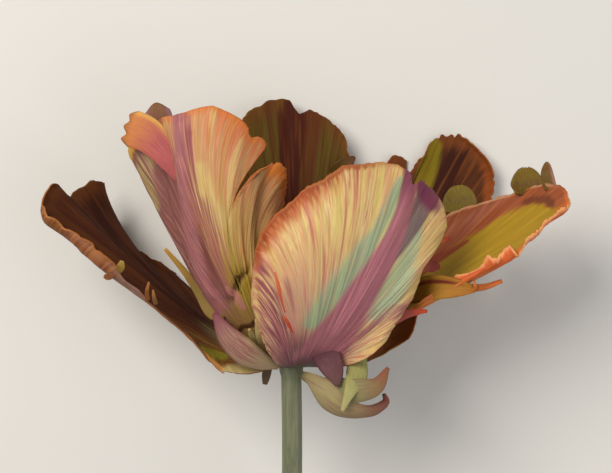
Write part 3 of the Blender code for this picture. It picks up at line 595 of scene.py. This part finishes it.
# the front left tepal
frontLeftTepal = {
    "slot": "inner_tepal", "root": 130, "flare": 8.5,
    "left": [
        (161, 211, 3, 204, 312, 9), (144, 181, 4, 199, 294, 12), (131, 156, 5, 196, 280, 14.5),
        (148, 128, 9, 192, 256, 19)],
    "tip": (172, 118, 15, 191, 233, 23),
    "right": [
        (205, 107, 18, 203, 240, 22), (239, 121, 17, 214, 247, 20),
        (251, 134, 15.5, 219, 251, 19), (264, 138, 14, 223, 254, 18.5),
        (267, 148, 13, 226, 257, 18), (271, 166, 10, 233, 262, 16.5),
        (281, 165, 9, 237, 267, 15.3), (285, 184, 7, 249, 279, 12.5), (284, 206, 5, 263, 293, 9)],
    "hem": [(-1, 1.0, 10), (-0.5, 2.0, 50), (0, 1.0, 0), (0.5, 1.0, -10), (1, 1.0, 10)],
    "teeth": (13, 1.0, 8), "slits": [(0.116, 2.0, 0.015), (0.21, 20.0, 0.05)], "waves": (5, 0.4, 0.8),
    "lean": (-0.1, 0.21, 1.0, 0.48), "middle": -0.1, "fringe": (80, 0.6, 6),
    "ribs": ((5, 0.08), (9, 0.08), (15, 0.05), (24, 0.03), (37, 0.02)),
    "marks": {
        "stripe": [
            (0.04, 0.98, 2.4), (0.03, 0.88, 2.5), (-0.02, 0.78, 2.8), (-0.1, 0.68, 3.0), (-0.22, 0.58, 3.2),
            (-0.36, 0.48, 3.2), (-0.5, 0.38, 3.0), (-0.6, 0.28, 2.6)],
        "shadeLine": [(0.08, 0.97, 1.3), (0.07, 0.85, 1.5), (0.03, 0.72, 1.5), (-0.04, 0.6, 1.2)],
        "rosy": [(0.04, 0.66, 3.0), (-0.02, 0.55, 4.0), (-0.12, 0.45, 4.5), (-0.2, 0.36, 4.0)],
        "outline": [(-0.04, 0.6, 0.8), (-0.1, 0.52, 1.2), (-0.2, 0.45, 1.4), (-0.3, 0.38, 1.2)],
        # the two crevice marks are painted shade: dark lines along the folds low on the tepal
        "crevice": [
            (-0.3, 0.3, 0.4), (-0.1, 0.31, 0.7), (0.12, 0.35, 0.9), (0.32, 0.4, 0.9), (0.5, 0.45, 0.5)],
        "lowCrevice": [(-0.8, 0.2, 0.6), (-0.3, 0.205, 0.8), (0.1, 0.205, 0.8), (0.35, 0.23, 0.5)],
        "knee": [(-0.05, 0.36, 1.0), (0.05, 0.33, 1.4), (0.1, 0.28, 1.2)],
        "creamPatch": [(0.12, 0.78, 2.2), (0.12, 0.68, 2.8), (0.2, 0.6, 2.6)],
        "oliveLeft": [(-0.25, 0.95, 2.0), (-0.42, 0.88, 2.8), (-0.6, 0.8, 2.4)]},
    "creases": [
        (0.9, [(0.03, 0.95, 3.0), (-0.02, 0.78, 3.4), (-0.22, 0.58, 3.8), (-0.5, 0.38, 3.6)]),
        (-0.8, [(-0.3, 0.3, 0.8), (-0.1, 0.31, 1.2), (0.12, 0.35, 1.4), (0.32, 0.4, 1.4), (0.5, 0.45, 1.0)]),
        (-0.8, [(-0.3, 0.8, 1.8), (-0.42, 0.68, 2.0), (-0.6, 0.55, 1.6)]),
        (-0.5, [(0.1, 0.9, 2.0), (0.06, 0.7, 2.2), (0.0, 0.55, 2.0)])],
    "outside": {
        "ground": tone(202, 164, 92), "middle": -0.1, "fan": 0.6, "seed": 21.0, "relief": 0.0004,
        "layers": [
            over((202, 146, 102), 0.5, 0.8, along=(0.55, 0.8)),
            over((206, 110, 56), 0.5, 0.9, along=(0.82, 1.0), across=(0.0, 0.4)),
            over((206, 180, 114), 0.3, 0.8, creamPatch=(-0.6, 0.5)),
            over((192, 108, 66), 0, 0.6, fine=(0.5, 0.6)),
            over((220, 194, 126), 0, 0.5, coarse=(0.52, 0.64)),
            over((158, 132, 34), 0.35, 0.85, along=(0.54, 0.38)),
            over((206, 118, 34), 0.35, edge=(5.0, 1.0), across=(0.55, 0.7)),
            over((208, 116, 50), 0.25, 0.8, edge=(2.8, 0.6)),
            over((186, 132, 56), 0.2, 0.85, edge=(9.0, 5.0), across=(-0.4, -0.6), along=(0.3, 0.4)),
            over((156, 92, 86), 0.4, rosy=(-0.5, 0.5), fine=(0.4, 0.52)),
            over((134, 82, 76), 0.35, across=(0.0, -0.16)),
            over((180, 160, 104), 0.4, 0.9, oliveLeft=(-0.6, 0.3), fine=(0.62, 0.46)),
            over((98, 52, 46), 0, 0.6, fine=(0.5, 0.6), across=(0.0, -0.2)),
            over((166, 118, 98), 0, 0.55, broad=(0.5, 0.62), across=(-0.1, -0.3)),
            over((200, 148, 56), 0.15, edge=(3.6, 1.6), across=(-0.2, -0.4)),
            over((168, 98, 98), 0.5, stripe=(-0.2, 0.5)),
            over((126, 88, 94), 0, 0.7, stripe=(-0.2, 0.4), fine=(0.48, 0.58)),
            over((202, 148, 128), 0, 0.5, stripe=(-0.2, 0.4), hair=(0.54, 0.64)),
            over((150, 84, 84), 0.3, shadeLine=(-0.5, 0.5), fine=(0.4, 0.54)),
            over((112, 52, 44), 0.6, 0.75, outline=(-0.5, 0.8), fine=(0.4, 0.54)),
            over((146, 112, 60), 0.3, 0.85, along=(0.31, 0.25)),
            over((172, 148, 84), 0.15, along=(0.2, 0.14)),
            over((150, 112, 60), 0, 0.8, along=(0.34, 0.3), fine=(0.5, 0.6)),
            # painted shade: near-black lines down the two crevices, the upper one over the groove that the
            # creases cut
            over((74, 38, 14), 0.25, crevice=(-0.4, 0.4)),
            over((70, 38, 14), 0.15, lowCrevice=(-0.4, 0.4)),
            over((184, 118, 108), 0.2, 0.8, knee=(-0.2, 0.5)),
            over((104, 102, 64), 0.06, along=(0.1, 0.04))]},
    "inside": insideLook((204, 158, 60), (150, 70, 40), (200, 104, 36), (150, 140, 80), 22.0),
    "lobes": [
        lobe([(182, 180, 16.2), (170, 160, 16.4), (146, 134, 14), (124, 126, 11)], [1.5, 3.2, 4.8, 5.2],
            (172, 82, 84), (208, 132, 66), (188, 104, 76), seed=5.0,
            ends=(0.9, 0.99, 0.94, 1.0, 0.95, 0.99, 0.9), cup=25, extra=[
            over((218, 160, 84), 0.2, across=(0.6, 0.9), along=(0.2, 0.6)),
            over((150, 92, 56), 0, 0.9, along=(0.88, 0.96), fine=(0.44, 0.54))]),
        lobe([(162, 150, 11.6), (159, 132, 9.2), (158, 116, 7), (156, 103, 5)], [2.2, 3.8, 3.8, 2.6],
            (124, 76, 66), (138, 96, 60), (90, 50, 44), seed=6.0, ends=(0.84, 0.96, 1.0, 0.95, 0.82),
            extra=[over((140, 98, 104), 0.4, centre=(0.5, 0.85))]),
        lobe([(224, 318, 7.2), (211, 313, 4), (199, 293, 2), (184, 271, 2), (165, 249, 2)],
            [1.4, 1.5, 1.2, 0.85, 0.45], (140, 112, 50), (184, 136, 50), (112, 84, 40)),
        lobe([(262, 348, 5.4), (255, 340, 8.4), (249, 329, 11)], [1.2, 1.4, 0.3], (190, 166, 104),
            (206, 184, 120), (140, 110, 66)),
        lobe([(270, 350, 5.6), (262, 336, 10.8), (256, 319, 13)], [1.2, 1.6, 0.3], (190, 168, 106),
            (210, 188, 124), (140, 110, 70))]}
tepalPiece("tepal_front_left", frontLeftTepal)

# the left tepal, dark inside, its near margin rolled over
leftTepal = {
    "slot": "outer_tepal", "root": 188, "flare": 9,
    "left": [
        (176, 274, -37.5, 226, 322, -30), (140, 251, -39.5, 186, 292, -36),
        (113, 236, -38.5, 150, 276, -37), (106, 208, -34, 128, 264, -35.5),
        (103, 184, -29, 118, 258, -32)],
    "tip": (84, 184, -22, 132, 270, -27),
    "right": [
        (67, 196, -16, 150, 284, -24.5), (56, 188, -12, 148, 285, -23),
        (48, 203, -8, 148, 290, -20), (47, 222, -4, 150, 297, -17), (68, 240, -2, 157, 309, -13),
        (92, 260, 0, 168, 321, -10), (120, 281, 2, 182, 334, -7), (150, 303, 4, 198, 347, -3),
        (174, 324, 5, 216, 361, 1), (198, 348, 7, 234, 373, 5), (226, 371, 8, 252, 379, 8)],
    "hem": [
        (-1, 0.5, 5), (-0.2, 0.6, 5), (0.08, 0.8, 10), (0.16, 2.5, 70), (0.25, 5.0, 130), (0.45, 5.5, 140),
        (0.55, 4.0, 130), (0.62, 2.0, 80), (0.75, 1.2, 30), (1, 1.0, 10)],
    "teeth": (17, 1.3, 5), "waves": (8, 0.4, 0.3), "fringe": (70, 0.5, 9),
    "scallops": [(17, 1.2, 0.14, 0.5), (23, 0.3, 0.62, 1.0), (13, 0.5, -0.6, 0.12)],
    "marks": {
        "stripe": [(0.0, 1.0, 2.5), (0.0, 0.7, 4.0), (0.0, 0.4, 5.0), (0.0, 0.12, 5.0)],
        "spot": [(0.86, 0.78, 1.6), (0.84, 0.62, 2.4), (0.8, 0.5, 1.8)],
        "creamFoot": [(1.0, 0.9, 2.0), (0.97, 0.6, 3.0), (0.95, 0.35, 3.0)]},
    "outside": outsideLook((150, 104, 56), (120, 60, 50), (120, 118, 76), (142, 84, 42), (96, 92, 62), 31.0,
        fine=110.0, extra=[
        over((108, 56, 28), 0, 0.9, edge=(10.0, 7.0), fine=(0.44, 0.54)),
        over((160, 104, 54), 0, 0.7, edge=(8.0, 4.0), broad=(0.5, 0.6)),
        over((132, 94, 80), 0.1, across=(0.52, 0.6), edge=(7.0, 3.0)),
        over((128, 76, 40), 0.1, across=(0.62, 0.7)),
        over((168, 104, 50), 0.03, edge=(0.8, 0.2), across=(0.6, 0.5))]),
    "inside": insideLook((76, 38, 22), (50, 20, 12), (100, 54, 26), (140, 128, 84), 32.0, roughness=0.7,
        gloss=0.1, extra=[
        over((98, 54, 28), 0, 0.55, coarse=(0.48, 0.6)),
        over((44, 18, 14), 0, 0.6, broad=(0.54, 0.64)),
        over((128, 80, 38), 0.35, 0.85, across=(0.4, 0.6)),
        over((82, 42, 24), 0, 0.8, across=(0.36, 0.56), fine=(0.48, 0.58)),
        over((116, 98, 40), 0, 0.7, across=(0.5, 0.66), broad=(0.52, 0.62)),
        over((176, 122, 60), 0.2, across=(0.4, 0.6), edge=(3.0, 0.8)),
        over((184, 160, 106), 0.2, 0.9, creamFoot=(-0.4, 0.5)),
        over((136, 130, 36), 0.3, 0.85, spot=(-0.4, 0.5))]),
    "lobes": [
        lobe([(279, 367, 3), (264, 364, 10), (246, 355, 13.5), (228, 338, 13), (214, 313, 9.5)],
            [1.2, 2.6, 3.9, 3.3, 0.6], (184, 160, 116), (138, 78, 86), (146, 96, 90), seed=8.0,
            facing=(0, -0.3, 1), cup=40,
            extra=[over((128, 66, 76), 0, 0.8, along=(0.2, 0.55), fine=(0.42, 0.54))]),
        lobe([(268, 367, 3.9), (266, 377, 1.5), (265, 384, 0)], [1.2, 1.1, 0.6], (96, 80, 54), (110, 84, 60),
            (70, 50, 40)),
        lobe([(114, 273, 2.2), (108, 277, 2.6), (104, 276, 3)], [0.9, 0.8, 0.5], (130, 74, 30), (150, 88, 38),
            (100, 50, 24)),
        lobe([(118, 271, 3.0), (121, 266, 5.4), (122, 261, 6.2)], [0.9, 1.1, 0.5], (150, 118, 50),
            (186, 152, 66), (120, 80, 40)),
        lobe([(148, 300, 8.6), (147, 291, 10.2), (149, 282, 10.8)], [0.6, 0.5, 0.2], (140, 80, 34),
            (176, 112, 52), (100, 50, 24)),
        lobe([(156, 304, 7.6), (154, 297, 9.4), (153, 290, 10.0)], [0.6, 0.5, 0.2], (140, 96, 50),
            (170, 120, 60), (100, 50, 24))]}
tepalPiece("tepal_left", leftTepal)

# the back tepal
backTepal = {
    "slot": "inner_tepal", "root": 268, "flare": 10,
    "left": [
        (358, 260, -22, 322, 330, -19), (362, 205, -28, 334, 300, -28),
        (350, 162, -31, 330, 284, -34), (334, 128, -33, 320, 276, -37)],
    "tip": (303, 111, -34, 302, 272, -38),
    "right": [
        (272, 102, -34, 284, 275, -37), (248, 116, -33, 268, 282, -35),
        (232, 152, -30, 260, 295, -31), (226, 205, -26, 258, 312, -26),
        (238, 265, -19, 264, 335, -17)],
    "hem": [(-1, 1.0, 10), (0, 1.5, 20), (1, 1.0, 10)], "teeth": (11, 1.0, 11), "slits": [(0.02, 2.5, 0.05)],
    "waves": (5, 0.7, 0.5), "fringe": (70, 0.6, 8),
    "marks": {
        "stripe": [(0.04, 1.0, 4.6), (0.05, 0.9, 4.2), (0.07, 0.75, 3.0), (0.07, 0.6, 3.0), (0.05, 0.3, 4.0)],
        "paleFlame": [(-0.08, 1.0, 2.6), (-0.05, 0.85, 2.4), (-0.02, 0.7, 2.0)]},
    "outside": outsideLook((176, 150, 84), (132, 70, 72), (130, 132, 90), (150, 96, 40), (98, 96, 64), 41.0),
    "inside": insideLook((94, 74, 26), (66, 28, 16), (104, 68, 28), (130, 120, 70), 42.0, roughness=0.7,
        gloss=0.1, jitter=0.1, extra=[
        over((82, 40, 20), 0, 0.6, broad=(0.5, 0.6)),
        over((92, 48, 22), 0.4, 0.8, paleFlame=(-0.4, 0.4)),
        over((68, 26, 16), 0.35, stripe=(-0.2, 0.4)),
        over((104, 56, 24), 0, 0.6, stripe=(-0.2, 0.4), fine=(0.52, 0.62))]),
    "lobes": [
        lobe([(332, 178, -34.2), (346, 164, -30.4), (355, 157, -30)], [2.5, 2.4, 1.6], (96, 74, 26),
            (104, 62, 24), (70, 44, 18), round=0.4, facing=(0, 0, -1))]}
tepalPiece("tepal_back", backTepal)

# the back right tepal, frilled
backRightTepal = {
    "slot": "outer_tepal", "root": 315, "flare": 12,
    "left": [
        (405, 340, -17, 362, 372, -21), (422, 302, -24, 382, 345, -27),
        (457, 262, -31, 400, 325, -35), (481, 222, -35, 411, 308, -40),
        (488, 182, -36, 414, 292, -43), (479, 158, -37, 408, 280, -45)],
    "tip": (454, 138, -38, 396, 275, -46),
    "right": [
        (432, 141, -39, 380, 278, -46), (421, 158, -39, 371, 281, -45.5),
        (411, 168, -39, 363, 284, -45), (404, 160, -39, 355, 287, -44.5),
        (395, 157, -39, 348, 290, -44), (376, 185, -38, 334, 300, -43),
        (350, 232, -36, 320, 322, -38), (328, 285, -32, 303, 350, -28)],
    "hem": [(-1, 1.5, 20), (-0.3, 3.2, 70), (-0.12, 4.2, 115), (0, 2.0, 60), (0.1, 0.8, 10), (1, 0.5, 5)],
    "teeth": (15, 1.2, 17), "slits": [(0.26, 3.0, 0.03)], "waves": (8, 0.5, 0.1), "fringe": (70, 0.6, 12),
    "scallops": [(31, 1.2, -0.6, 0.12)],
    "marks": {
        "stripe": [(-0.06, 1.0, 3.6), (-0.05, 0.85, 3.6), (-0.03, 0.6, 4.0), (0.0, 0.3, 5.0)],
        "olive": [(0.07, 0.96, 2.4), (0.06, 0.88, 2.8), (0.04, 0.78, 2.6)],
        "lowOlive": [(0.26, 0.86, 1.4), (0.18, 0.78, 2.2), (0.08, 0.7, 2.0)]},
    "outside": outsideLook((168, 130, 72), (128, 64, 60), (126, 124, 82), (156, 88, 40), (96, 92, 62), 51.0),
    "inside": insideLook((84, 44, 22), (58, 24, 14), (112, 58, 28), (130, 116, 66), 52.0, roughness=0.7,
        gloss=0.1, extra=[
        over((120, 70, 28), 0, 0.55, broad=(0.5, 0.6)),
        over((124, 104, 22), 0.3, olive=(-0.3, 0.35)),
        over((112, 90, 24), 0.4, 0.8, lowOlive=(-0.3, 0.5)),
        over((138, 70, 30), 0.3, edge=(6.0, 2.0), across=(-0.08, -0.2)),
        over((110, 64, 26), 0.3, 0.8, across=(-0.5, -0.7))])}
tepalPiece("tepal_back_right", backRightTepal)

# the right tepal, gold inside, its near margin rolled and orange
rightTepal = {
    "slot": "inner_tepal", "root": 8, "flare": 8,
    "left": [
        (455, 278, 8, 374, 336, 6), (485, 268, 12, 395, 324, 3.4),
        (501, 262, 12.8, 405, 317.5, 2), (516, 258, 13, 417, 309.5, 0.2),
        (522, 247, 13, 424, 305, -0.5), (539, 232, 13, 434, 296.5, -1.9),
        (556, 217, 12, 445, 287, -3.5)],
    "tip": (567, 204, 8, 456, 276, -6),
    "right": [
        (565, 193, 4, 456, 270, -8), (557, 187, 0, 454, 266, -9.5), (545, 185, -3, 448, 262, -12),
        (520, 192, -8, 436, 264, -15), (485, 202, -12, 416, 272, -18),
        (445, 217, -15, 392, 290, -20), (398, 255, -16, 362, 314, -18),
        (345, 315, -12, 328, 344, -13)],
    "hem": [
        (-1, 1.0, 10), (-0.78, 1.6, 75), (-0.73, 3.6, 100), (-0.68, 1.8, 85), (-0.6, 5.2, 105),
        (-0.53, 1.8, 85), (-0.48, 1.8, 85), (-0.43, 3.6, 105), (-0.34, 3.0, 100), (-0.31, 1.8, 85),
        (-0.26, 3.4, 105), (-0.21, 2.2, 95), (-0.05, 2.4, 95), (0.03, 1.6, 50), (0.12, 0.8, 10),
        (1, 1.0, 10)],
    "teeth": (11, 0.8, 23), "waves": (6, 0.4, 0.4), "fringe": (60, 0.5, 14),
    "scallops": [(31, 0.5, -0.9, 0.1), (17, 0.4, 0.12, 0.6)],
    "marks": {
        "stripe": [(0.1, 0.2, 4.0), (0.05, 0.05, 4.0)],
        "band": [
            (0.06, 0.96, 3.0), (0.25, 0.95, 4.2), (0.42, 0.86, 4.8), (0.47, 0.72, 4.6), (0.42, 0.6, 3.6)],
        "darkTip": [(0.04, 0.93, 1.2), (0.09, 0.93, 1.8), (0.15, 0.9, 1.4)],
        "redFoot": [(0.22, 0.7, 1.2), (0.3, 0.62, 2.2), (0.36, 0.52, 2.8)]},
    "outside": outsideLook((206, 120, 48), (150, 74, 60), (150, 130, 70), (220, 120, 62), (98, 94, 60), 61.0,
        extra=[
        over((214, 100, 44), 0.2, edge=(12.0, 7.0)),
        over((176, 78, 30), 0, 0.65, edge=(9.0, 5.0), fine=(0.5, 0.6)),
        over((236, 160, 100), 0.05, edge=(1.8, 0.3))]),
    "inside": insideLook((168, 134, 18), (158, 112, 22), (192, 96, 36), (150, 120, 50), 62.0, jitter=0.08,
        extra=[
        over((180, 154, 36), 0, 0.5, broad=(0.54, 0.64)),
        over((152, 78, 40), 0.4, band=(-0.6, 0.1)),
        over((120, 50, 30), 0, 0.6, band=(-0.3, 0.3), fine=(0.5, 0.6)),
        over((178, 104, 52), 0, 0.6, band=(-0.3, 0.3), broad=(0.54, 0.64)),
        over((100, 48, 26), 0.45, 0.8, darkTip=(-0.3, 0.6)),
        over((140, 48, 30), 0.35, 0.85, redFoot=(-0.4, 0.4)),
        over((186, 130, 92), 0.1, edge=(1.6, 0.6), across=(0.08, 0.16)),
        over((206, 108, 48), 0.05, edge=(1.6, 0.4), across=(0.1, 0.0))]),
    "lobes": [
        lobe([(551, 190, -0.9), (549, 184, -3), (547, 173, -4), (547, 162, -3)], [1.5, 1.9, 1.8, 1.5],
            (112, 88, 34), (136, 100, 50), (84, 50, 24), facing=(0, 0, -1), round=0.5,
            extra=[over((160, 110, 92), 0.3, across=(-0.4, -0.8))]),
        lobe([(528, 195, -5.9), (527, 186, -7.9), (525, 167, -8)], [3.6, 4.6, 4.4], (126, 104, 30),
            (140, 112, 34), (84, 50, 24), facing=(0, 0, -1), ends=(1.0, 0.97, 1.0, 0.97, 1.02), round=0.35,
            extra=[over((92, 54, 26), 0, 0.8, along=(0.75, 0.3), fine=(0.4, 0.56))]),
        lobe([(461, 213, -14.8), (460, 204, -16.6), (458, 185, -17)], [4.4, 4.9, 4.8], (120, 102, 34),
            (140, 124, 40), (88, 66, 26), facing=(0, 0, -1), ends=(1.0, 0.98, 1.0, 0.97, 1.0), round=0.35,
            extra=[over((98, 70, 28), 0, 0.7, fine=(0.5, 0.62))]),
        lobe([(400, 298, -4.6), (418, 290, 2), (438, 287, 8.6), (460, 288, 9.8), (475, 289, 9.6)],
            [2.0, 3.3, 3.4, 2.3, 0.9], (166, 124, 26), (184, 120, 38), (128, 72, 22), facing=(0, 0, -1),
            cup=30,
            extra=[over((112, 34, 22), 0.3, across=(0.2, 0.4), acrossToo=(0.75, 0.5), along=(0.95, 0.7))]),
        lobe([(471, 291, 9.4), (475, 288, 10.2), (474, 281, 10.8)], [0.5, 0.5, 0.3], (190, 110, 40),
            (214, 130, 62), (150, 60, 24)),
        lobe([(464, 288, 9.6), (484, 287, 9.3), (502, 281, 8)], [1.1, 0.8, 0.45], (180, 100, 40),
            (224, 120, 56), (150, 60, 24), facing=(0, 0, -1), cup=40)]}
tepalPiece("tepal_right", rightTepal)

# the small curled tepal under the bloom
curledTepal = {
    "slot": "curled_tepal",
    "strips": [
        lobe([
            (302, 377, 2.6), (311, 384, 8), (324, 396, 11), (340, 408, 12), (360, 413, 11), (376, 410, 9),
            (386, 401, 8), (384, 394, 9)],
            [1.6, 3.0, 4.6, 3.9, 2.4, 1.6, 0.9, 0.4], (168, 152, 104), (130, 70, 56), (108, 66, 72), seed=9.0,
            cup=50, facing=(-0.3, -0.4, 1), ends=(1, 1, 1, 1, 1)),
        lobe([(318, 384, 8), (338, 391, 12), (358, 391, 13), (375, 387, 12), (388, 368, 9)],
            [2.0, 3.6, 3.2, 2.4, 0.4], (148, 142, 92), (150, 92, 62), (112, 78, 74), seed=10.0, cup=30,
            ends=(1, 1, 1, 1, 1)),
        lobe([(361, 352, 7.0), (358, 365, 8.2), (356, 379, 11.8), (350, 392, 14.2), (342, 411, 14.6)],
            [1.5, 2.7, 2.7, 1.5, 0.3], (170, 166, 104), (186, 176, 116), (122, 118, 62), seed=11.0, cup=30)]}
strips = []
for n, strip in enumerate(curledTepal["strips"]):
    points, spots = lobeGrid(strip, 40, 17)
    paint = petalPaint(f"curled_{n}", strip["look"])
    strips.append(grown(f"curled_{n}", points, spots, {}, [paint], layout["curledThickness"]))
curledPiece = joined(strips)
curledPiece.name = "curled_tepal_fine"
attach(curledPiece, "root")
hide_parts("curled_tepal")
print("curled tepal done")


# stem, pistil and stamens: a circle extruded ring by ring, then laid along its path
def drawnOut(name, path, radii, sides, squash=None):
    path = np.array(path, float)
    bpy.ops.mesh.primitive_circle_add(vertices=sides, radius=1, fill_type="NGON")
    bpy.ops.object.mode_set(mode="EDIT")
    bpy.ops.mesh.select_all(action="SELECT")
    for _ in range(len(path) - 1):
        bpy.ops.mesh.extrude_region_move(TRANSFORM_OT_translate={"value": (0, 0, 1)})
    bpy.ops.object.mode_set(mode="OBJECT")
    ahead = unit(np.gradient(path, axis=0))
    side = unit(np.cross(ahead, (0.3, 0.1, 1.0)))
    up = np.cross(side, ahead)
    piece, mesh, (x, y, z) = begun(name)
    ring = np.rint(z).astype(int)
    share = ring / (len(path) - 1)
    angle = np.arctan2(y, x)
    radius = np.array(radii)[ring]
    if squash:
        radius = radius * squash(angle, share)
    turned = side[ring] * np.cos(angle)[:, None] + up[ring] * np.sin(angle)[:, None]
    placed(mesh, path[ring] + turned * radius[:, None], {})
    bpy.ops.object.mode_set(mode="EDIT")
    bpy.ops.mesh.select_all(action="SELECT")
    bpy.ops.mesh.normals_make_consistent(inside=False)
    bpy.ops.object.mode_set(mode="OBJECT")
    bpy.ops.object.shade_smooth_by_angle(angle=math.radians(50))
    return piece


def dressed(piece, node, paint):
    piece.data.materials.append(paint)
    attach(piece, "root")
    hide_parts(node)


# threads and patches on the green pieces, counted to the metre
grain = {"thread": 1600.0, "patch": 260.0, "patchAlong": 90.0, "patchShare": 0.5, "patchTone": (110, 114, 88)}


def greenPaint(name, ground, second, roughness, relief, stretch=6.0):
    paint = Paint(name, roughness, Specular_IOR_Level=0.35, Subsurface_Weight=0.05)
    place = paint.node("ShaderNodeTexCoord", {}, {}, 3)
    parts = paint.node("ShaderNodeSeparateXYZ", {}, {0: place})
    y = Wire(paint, parts.socket.node.outputs[1])
    z = Wire(paint, parts.socket.node.outputs[2])
    thread, patch = grain["thread"], grain["patch"]
    long = paint.noise(parts * thread, y * (thread / stretch), z * thread)
    wide = paint.noise(parts * patch, y * grain["patchAlong"], z * patch, 2.0)
    colour = paint.blend(long.fade(0.38, 0.66), ground, second)
    colour = paint.blend(wide.fade(0.4, 0.7) * grain["patchShare"], colour, tone(*grain["patchTone"]))
    paint.colour(colour)
    paint.relief(long * 0.7 + wide * 0.3, relief, 0.7)
    return paint


# the collar lists the receptacle's heights and radii
stem = {
    "radius": 2.8, "length": 170.0, "floor": -40.3, "lift": 0.05, "rings": 61, "sides": 40,
    "bend": [(1.2, -130, -29.5), (0.5, -90, -16.5), (0.1, -50, -6.0), (0.2, -20, -0.9), (0, -3, 0)],
    "collar": [(-2.2, 3.05), (-1.2, 3.3), (2.6, 3.3), (3.0, 4.3), (3.3, 4.65), (3.9, 4.65), (4.25, 4.3)],
}
ends = np.array([(2.0, -stem["length"], stem["floor"] + stem["radius"] + stem["lift"]), *stem["bend"]])
stemPath = list(smoothThrough(np.linspace(0, 1, len(ends)), ends, np.linspace(0, 1, stem["rings"])))
stemRadii = [stem["radius"]] * stem["rings"]
for height, radius in stem["collar"]:
    stemPath.append((0, height, 0))
    stemRadii.append(radius)
stemPiece = drawnOut("stem_fine", stemPath, stemRadii, stem["sides"],
                     lambda a, t: 1 + 0.012 * np.sin(5 * a + 3 * t) + 0.008 * np.sin(9 * a - 5 * t))
stemPaint = greenPaint("stem_green_fine", tone(88, 94, 70), tone(106, 112, 84), 0.5, 0.00012, 30.0)
dressed(stemPiece, "stem", stemPaint.material)

# foot, height, rings, sides, places up it, radii there, ribs; then two tones and greenPaint's finish
pistil = {
    "ovary_green": (4.6, 21, 17, 42, [0, 0.15, 0.5, 0.85, 1], [2.7, 3.2, 3.8, 3.3, 2.4],
                    lambda a, t: 1 + 0.10 * np.cos(3 * a) - 0.02 * np.cos(6 * a),
                    (150, 160, 92), (172, 178, 112), 0.45, 0.0001, 6.0),
    "stigma_yellow": (25.9, 4.2, 13, 60, [0, 0.4, 0.8, 1], [2.2, 3.4, 3.9, 2.6],
                      lambda a, t: 1 + 0.2 * t * np.cos(3 * a) + 0.02 * t * np.sin(19 * a),
                      (214, 200, 130), (226, 214, 150), 0.8, 0.0003, 1.0),
}
for slot, (foot, tall, rings, sides, knots, radii, ribs, ground, second, *finish) in pistil.items():
    node = slot.split("_")[0]
    rows = np.linspace(0, 1, rings)
    path = [(0, foot + tall * t, 0) for t in rows]
    piece = drawnOut(node + "_fine", path, smoothThrough(knots, radii, rows), sides, ribs)
    dressed(piece, node, greenPaint(slot + "_fine", tone(*ground), tone(*second), *finish).material)

stamen = {
    "count": 6, "first": 35, "foot": (4.0, 4.6), "tip": (6.4, 18.0), "bow": 0.8,
    "filament": [0.62, 0.9, 1.1, 1.05, 0.9, 0.7, 0.45],
    "anther": [0.9, 1.5, 1.75, 1.4, 0.5], "gap": 0.4, "antherLength": 11.0,
}
filamentPaint = greenPaint("filament_yellow_fine", tone(176, 160, 64), tone(120, 96, 60), 0.5, 0.00005)
antherPaint = greenPaint("anther_purple_fine", tone(58, 40, 58), tone(84, 62, 76), 0.9, 0.0003, 1.0)
for n in range(stamen["count"]):
    a = math.radians(60 * n + stamen["first"])
    out = np.array((math.cos(a), 0, math.sin(a)))
    foot, tip = [out * stamen[end][0] + (0, stamen[end][1], 0) for end in ("foot", "tip")]
    steps = np.linspace(0, 1, 13)
    path = [foot + (tip - foot) * t + out * stamen["bow"] * math.sin(math.pi * t) for t in steps]
    radii = np.interp(steps, np.linspace(0, 1, 7), stamen["filament"])
    filament = drawnOut(f"filament_{n + 1}_fine", path, radii, 16)
    dressed(filament, f"filament_{n + 1}", filamentPaint.material)
    lean = unit(tip - foot)
    steps = np.linspace(0, 1, 17)
    radii = smoothThrough([0, 0.12, 0.5, 0.88, 1], stamen["anther"], steps)
    path = [tip + lean * (stamen["gap"] + stamen["antherLength"] * t) for t in steps]
    anther = drawnOut(f"anther_{n + 1}_fine", path, radii, 28, lambda a, _: 1 + 0.16 * np.cos(4 * a))
    dressed(anther, f"anther_{n + 1}", antherPaint.material)
print("stem, pistil and stamens done")

# table, lights and camera
studio = {
    "eye": (0.0010, 0.0826, 0.4383),
    "lens": 85, "sensor": 36, "near": 0.01,
    "table": (205, 202, 196), "tableSize": 4, "tableRoughness": 0.7,
    "world": 0.35,
    # name: place, aim, size, watts, colour
    "lamps": {
        "key": ((-0.45, 0.45, 0.75), (0, 0.07, 0.03), 0.5, 9.0, (1.0, 0.96, 0.9)),
        "fill": ((0.6, -0.15, 0.55), (0, 0.07, 0.03), 0.8, 3.0, (0.93, 0.96, 1.0)),
    },
}
bpy.ops.mesh.primitive_plane_add(size=studio["tableSize"], location=(0, 0, 0))
table = bpy.context.active_object
table.name = "table_top"
tablePaint = Paint("table_paint", studio["tableRoughness"])
tablePaint.colour(tone(*studio["table"]))
table.data.materials.append(tablePaint.material)
for name, (place, aim, size, watts, tint) in studio["lamps"].items():
    bpy.ops.object.light_add(type="AREA", location=place)
    lamp = bpy.context.active_object
    lamp.name = name
    lamp.data.size = size
    lamp.data.energy = watts
    lamp.data.color = tint
    toward = np.array(aim) - np.array(place)
    lamp.rotation_euler = (math.atan2(math.hypot(toward[0], toward[1]), -toward[2]), 0,
                           math.atan2(toward[1], toward[0]) - math.pi / 2)
world = bpy.data.worlds.new("studio")
world.use_nodes = True
world.node_tree.nodes["Background"].inputs["Color"].default_value = (1, 1, 1, 1)
world.node_tree.nodes["Background"].inputs["Strength"].default_value = studio["world"]
bpy.context.scene.world = world
bpy.ops.object.camera_add(location=studio["eye"], rotation=(0, 0, 0))
camera = bpy.context.active_object
camera.data.lens = studio["lens"]
camera.data.sensor_width = studio["sensor"]
camera.data.clip_start = studio["near"]
bpy.context.scene.camera = camera
print("table, lights and camera done")
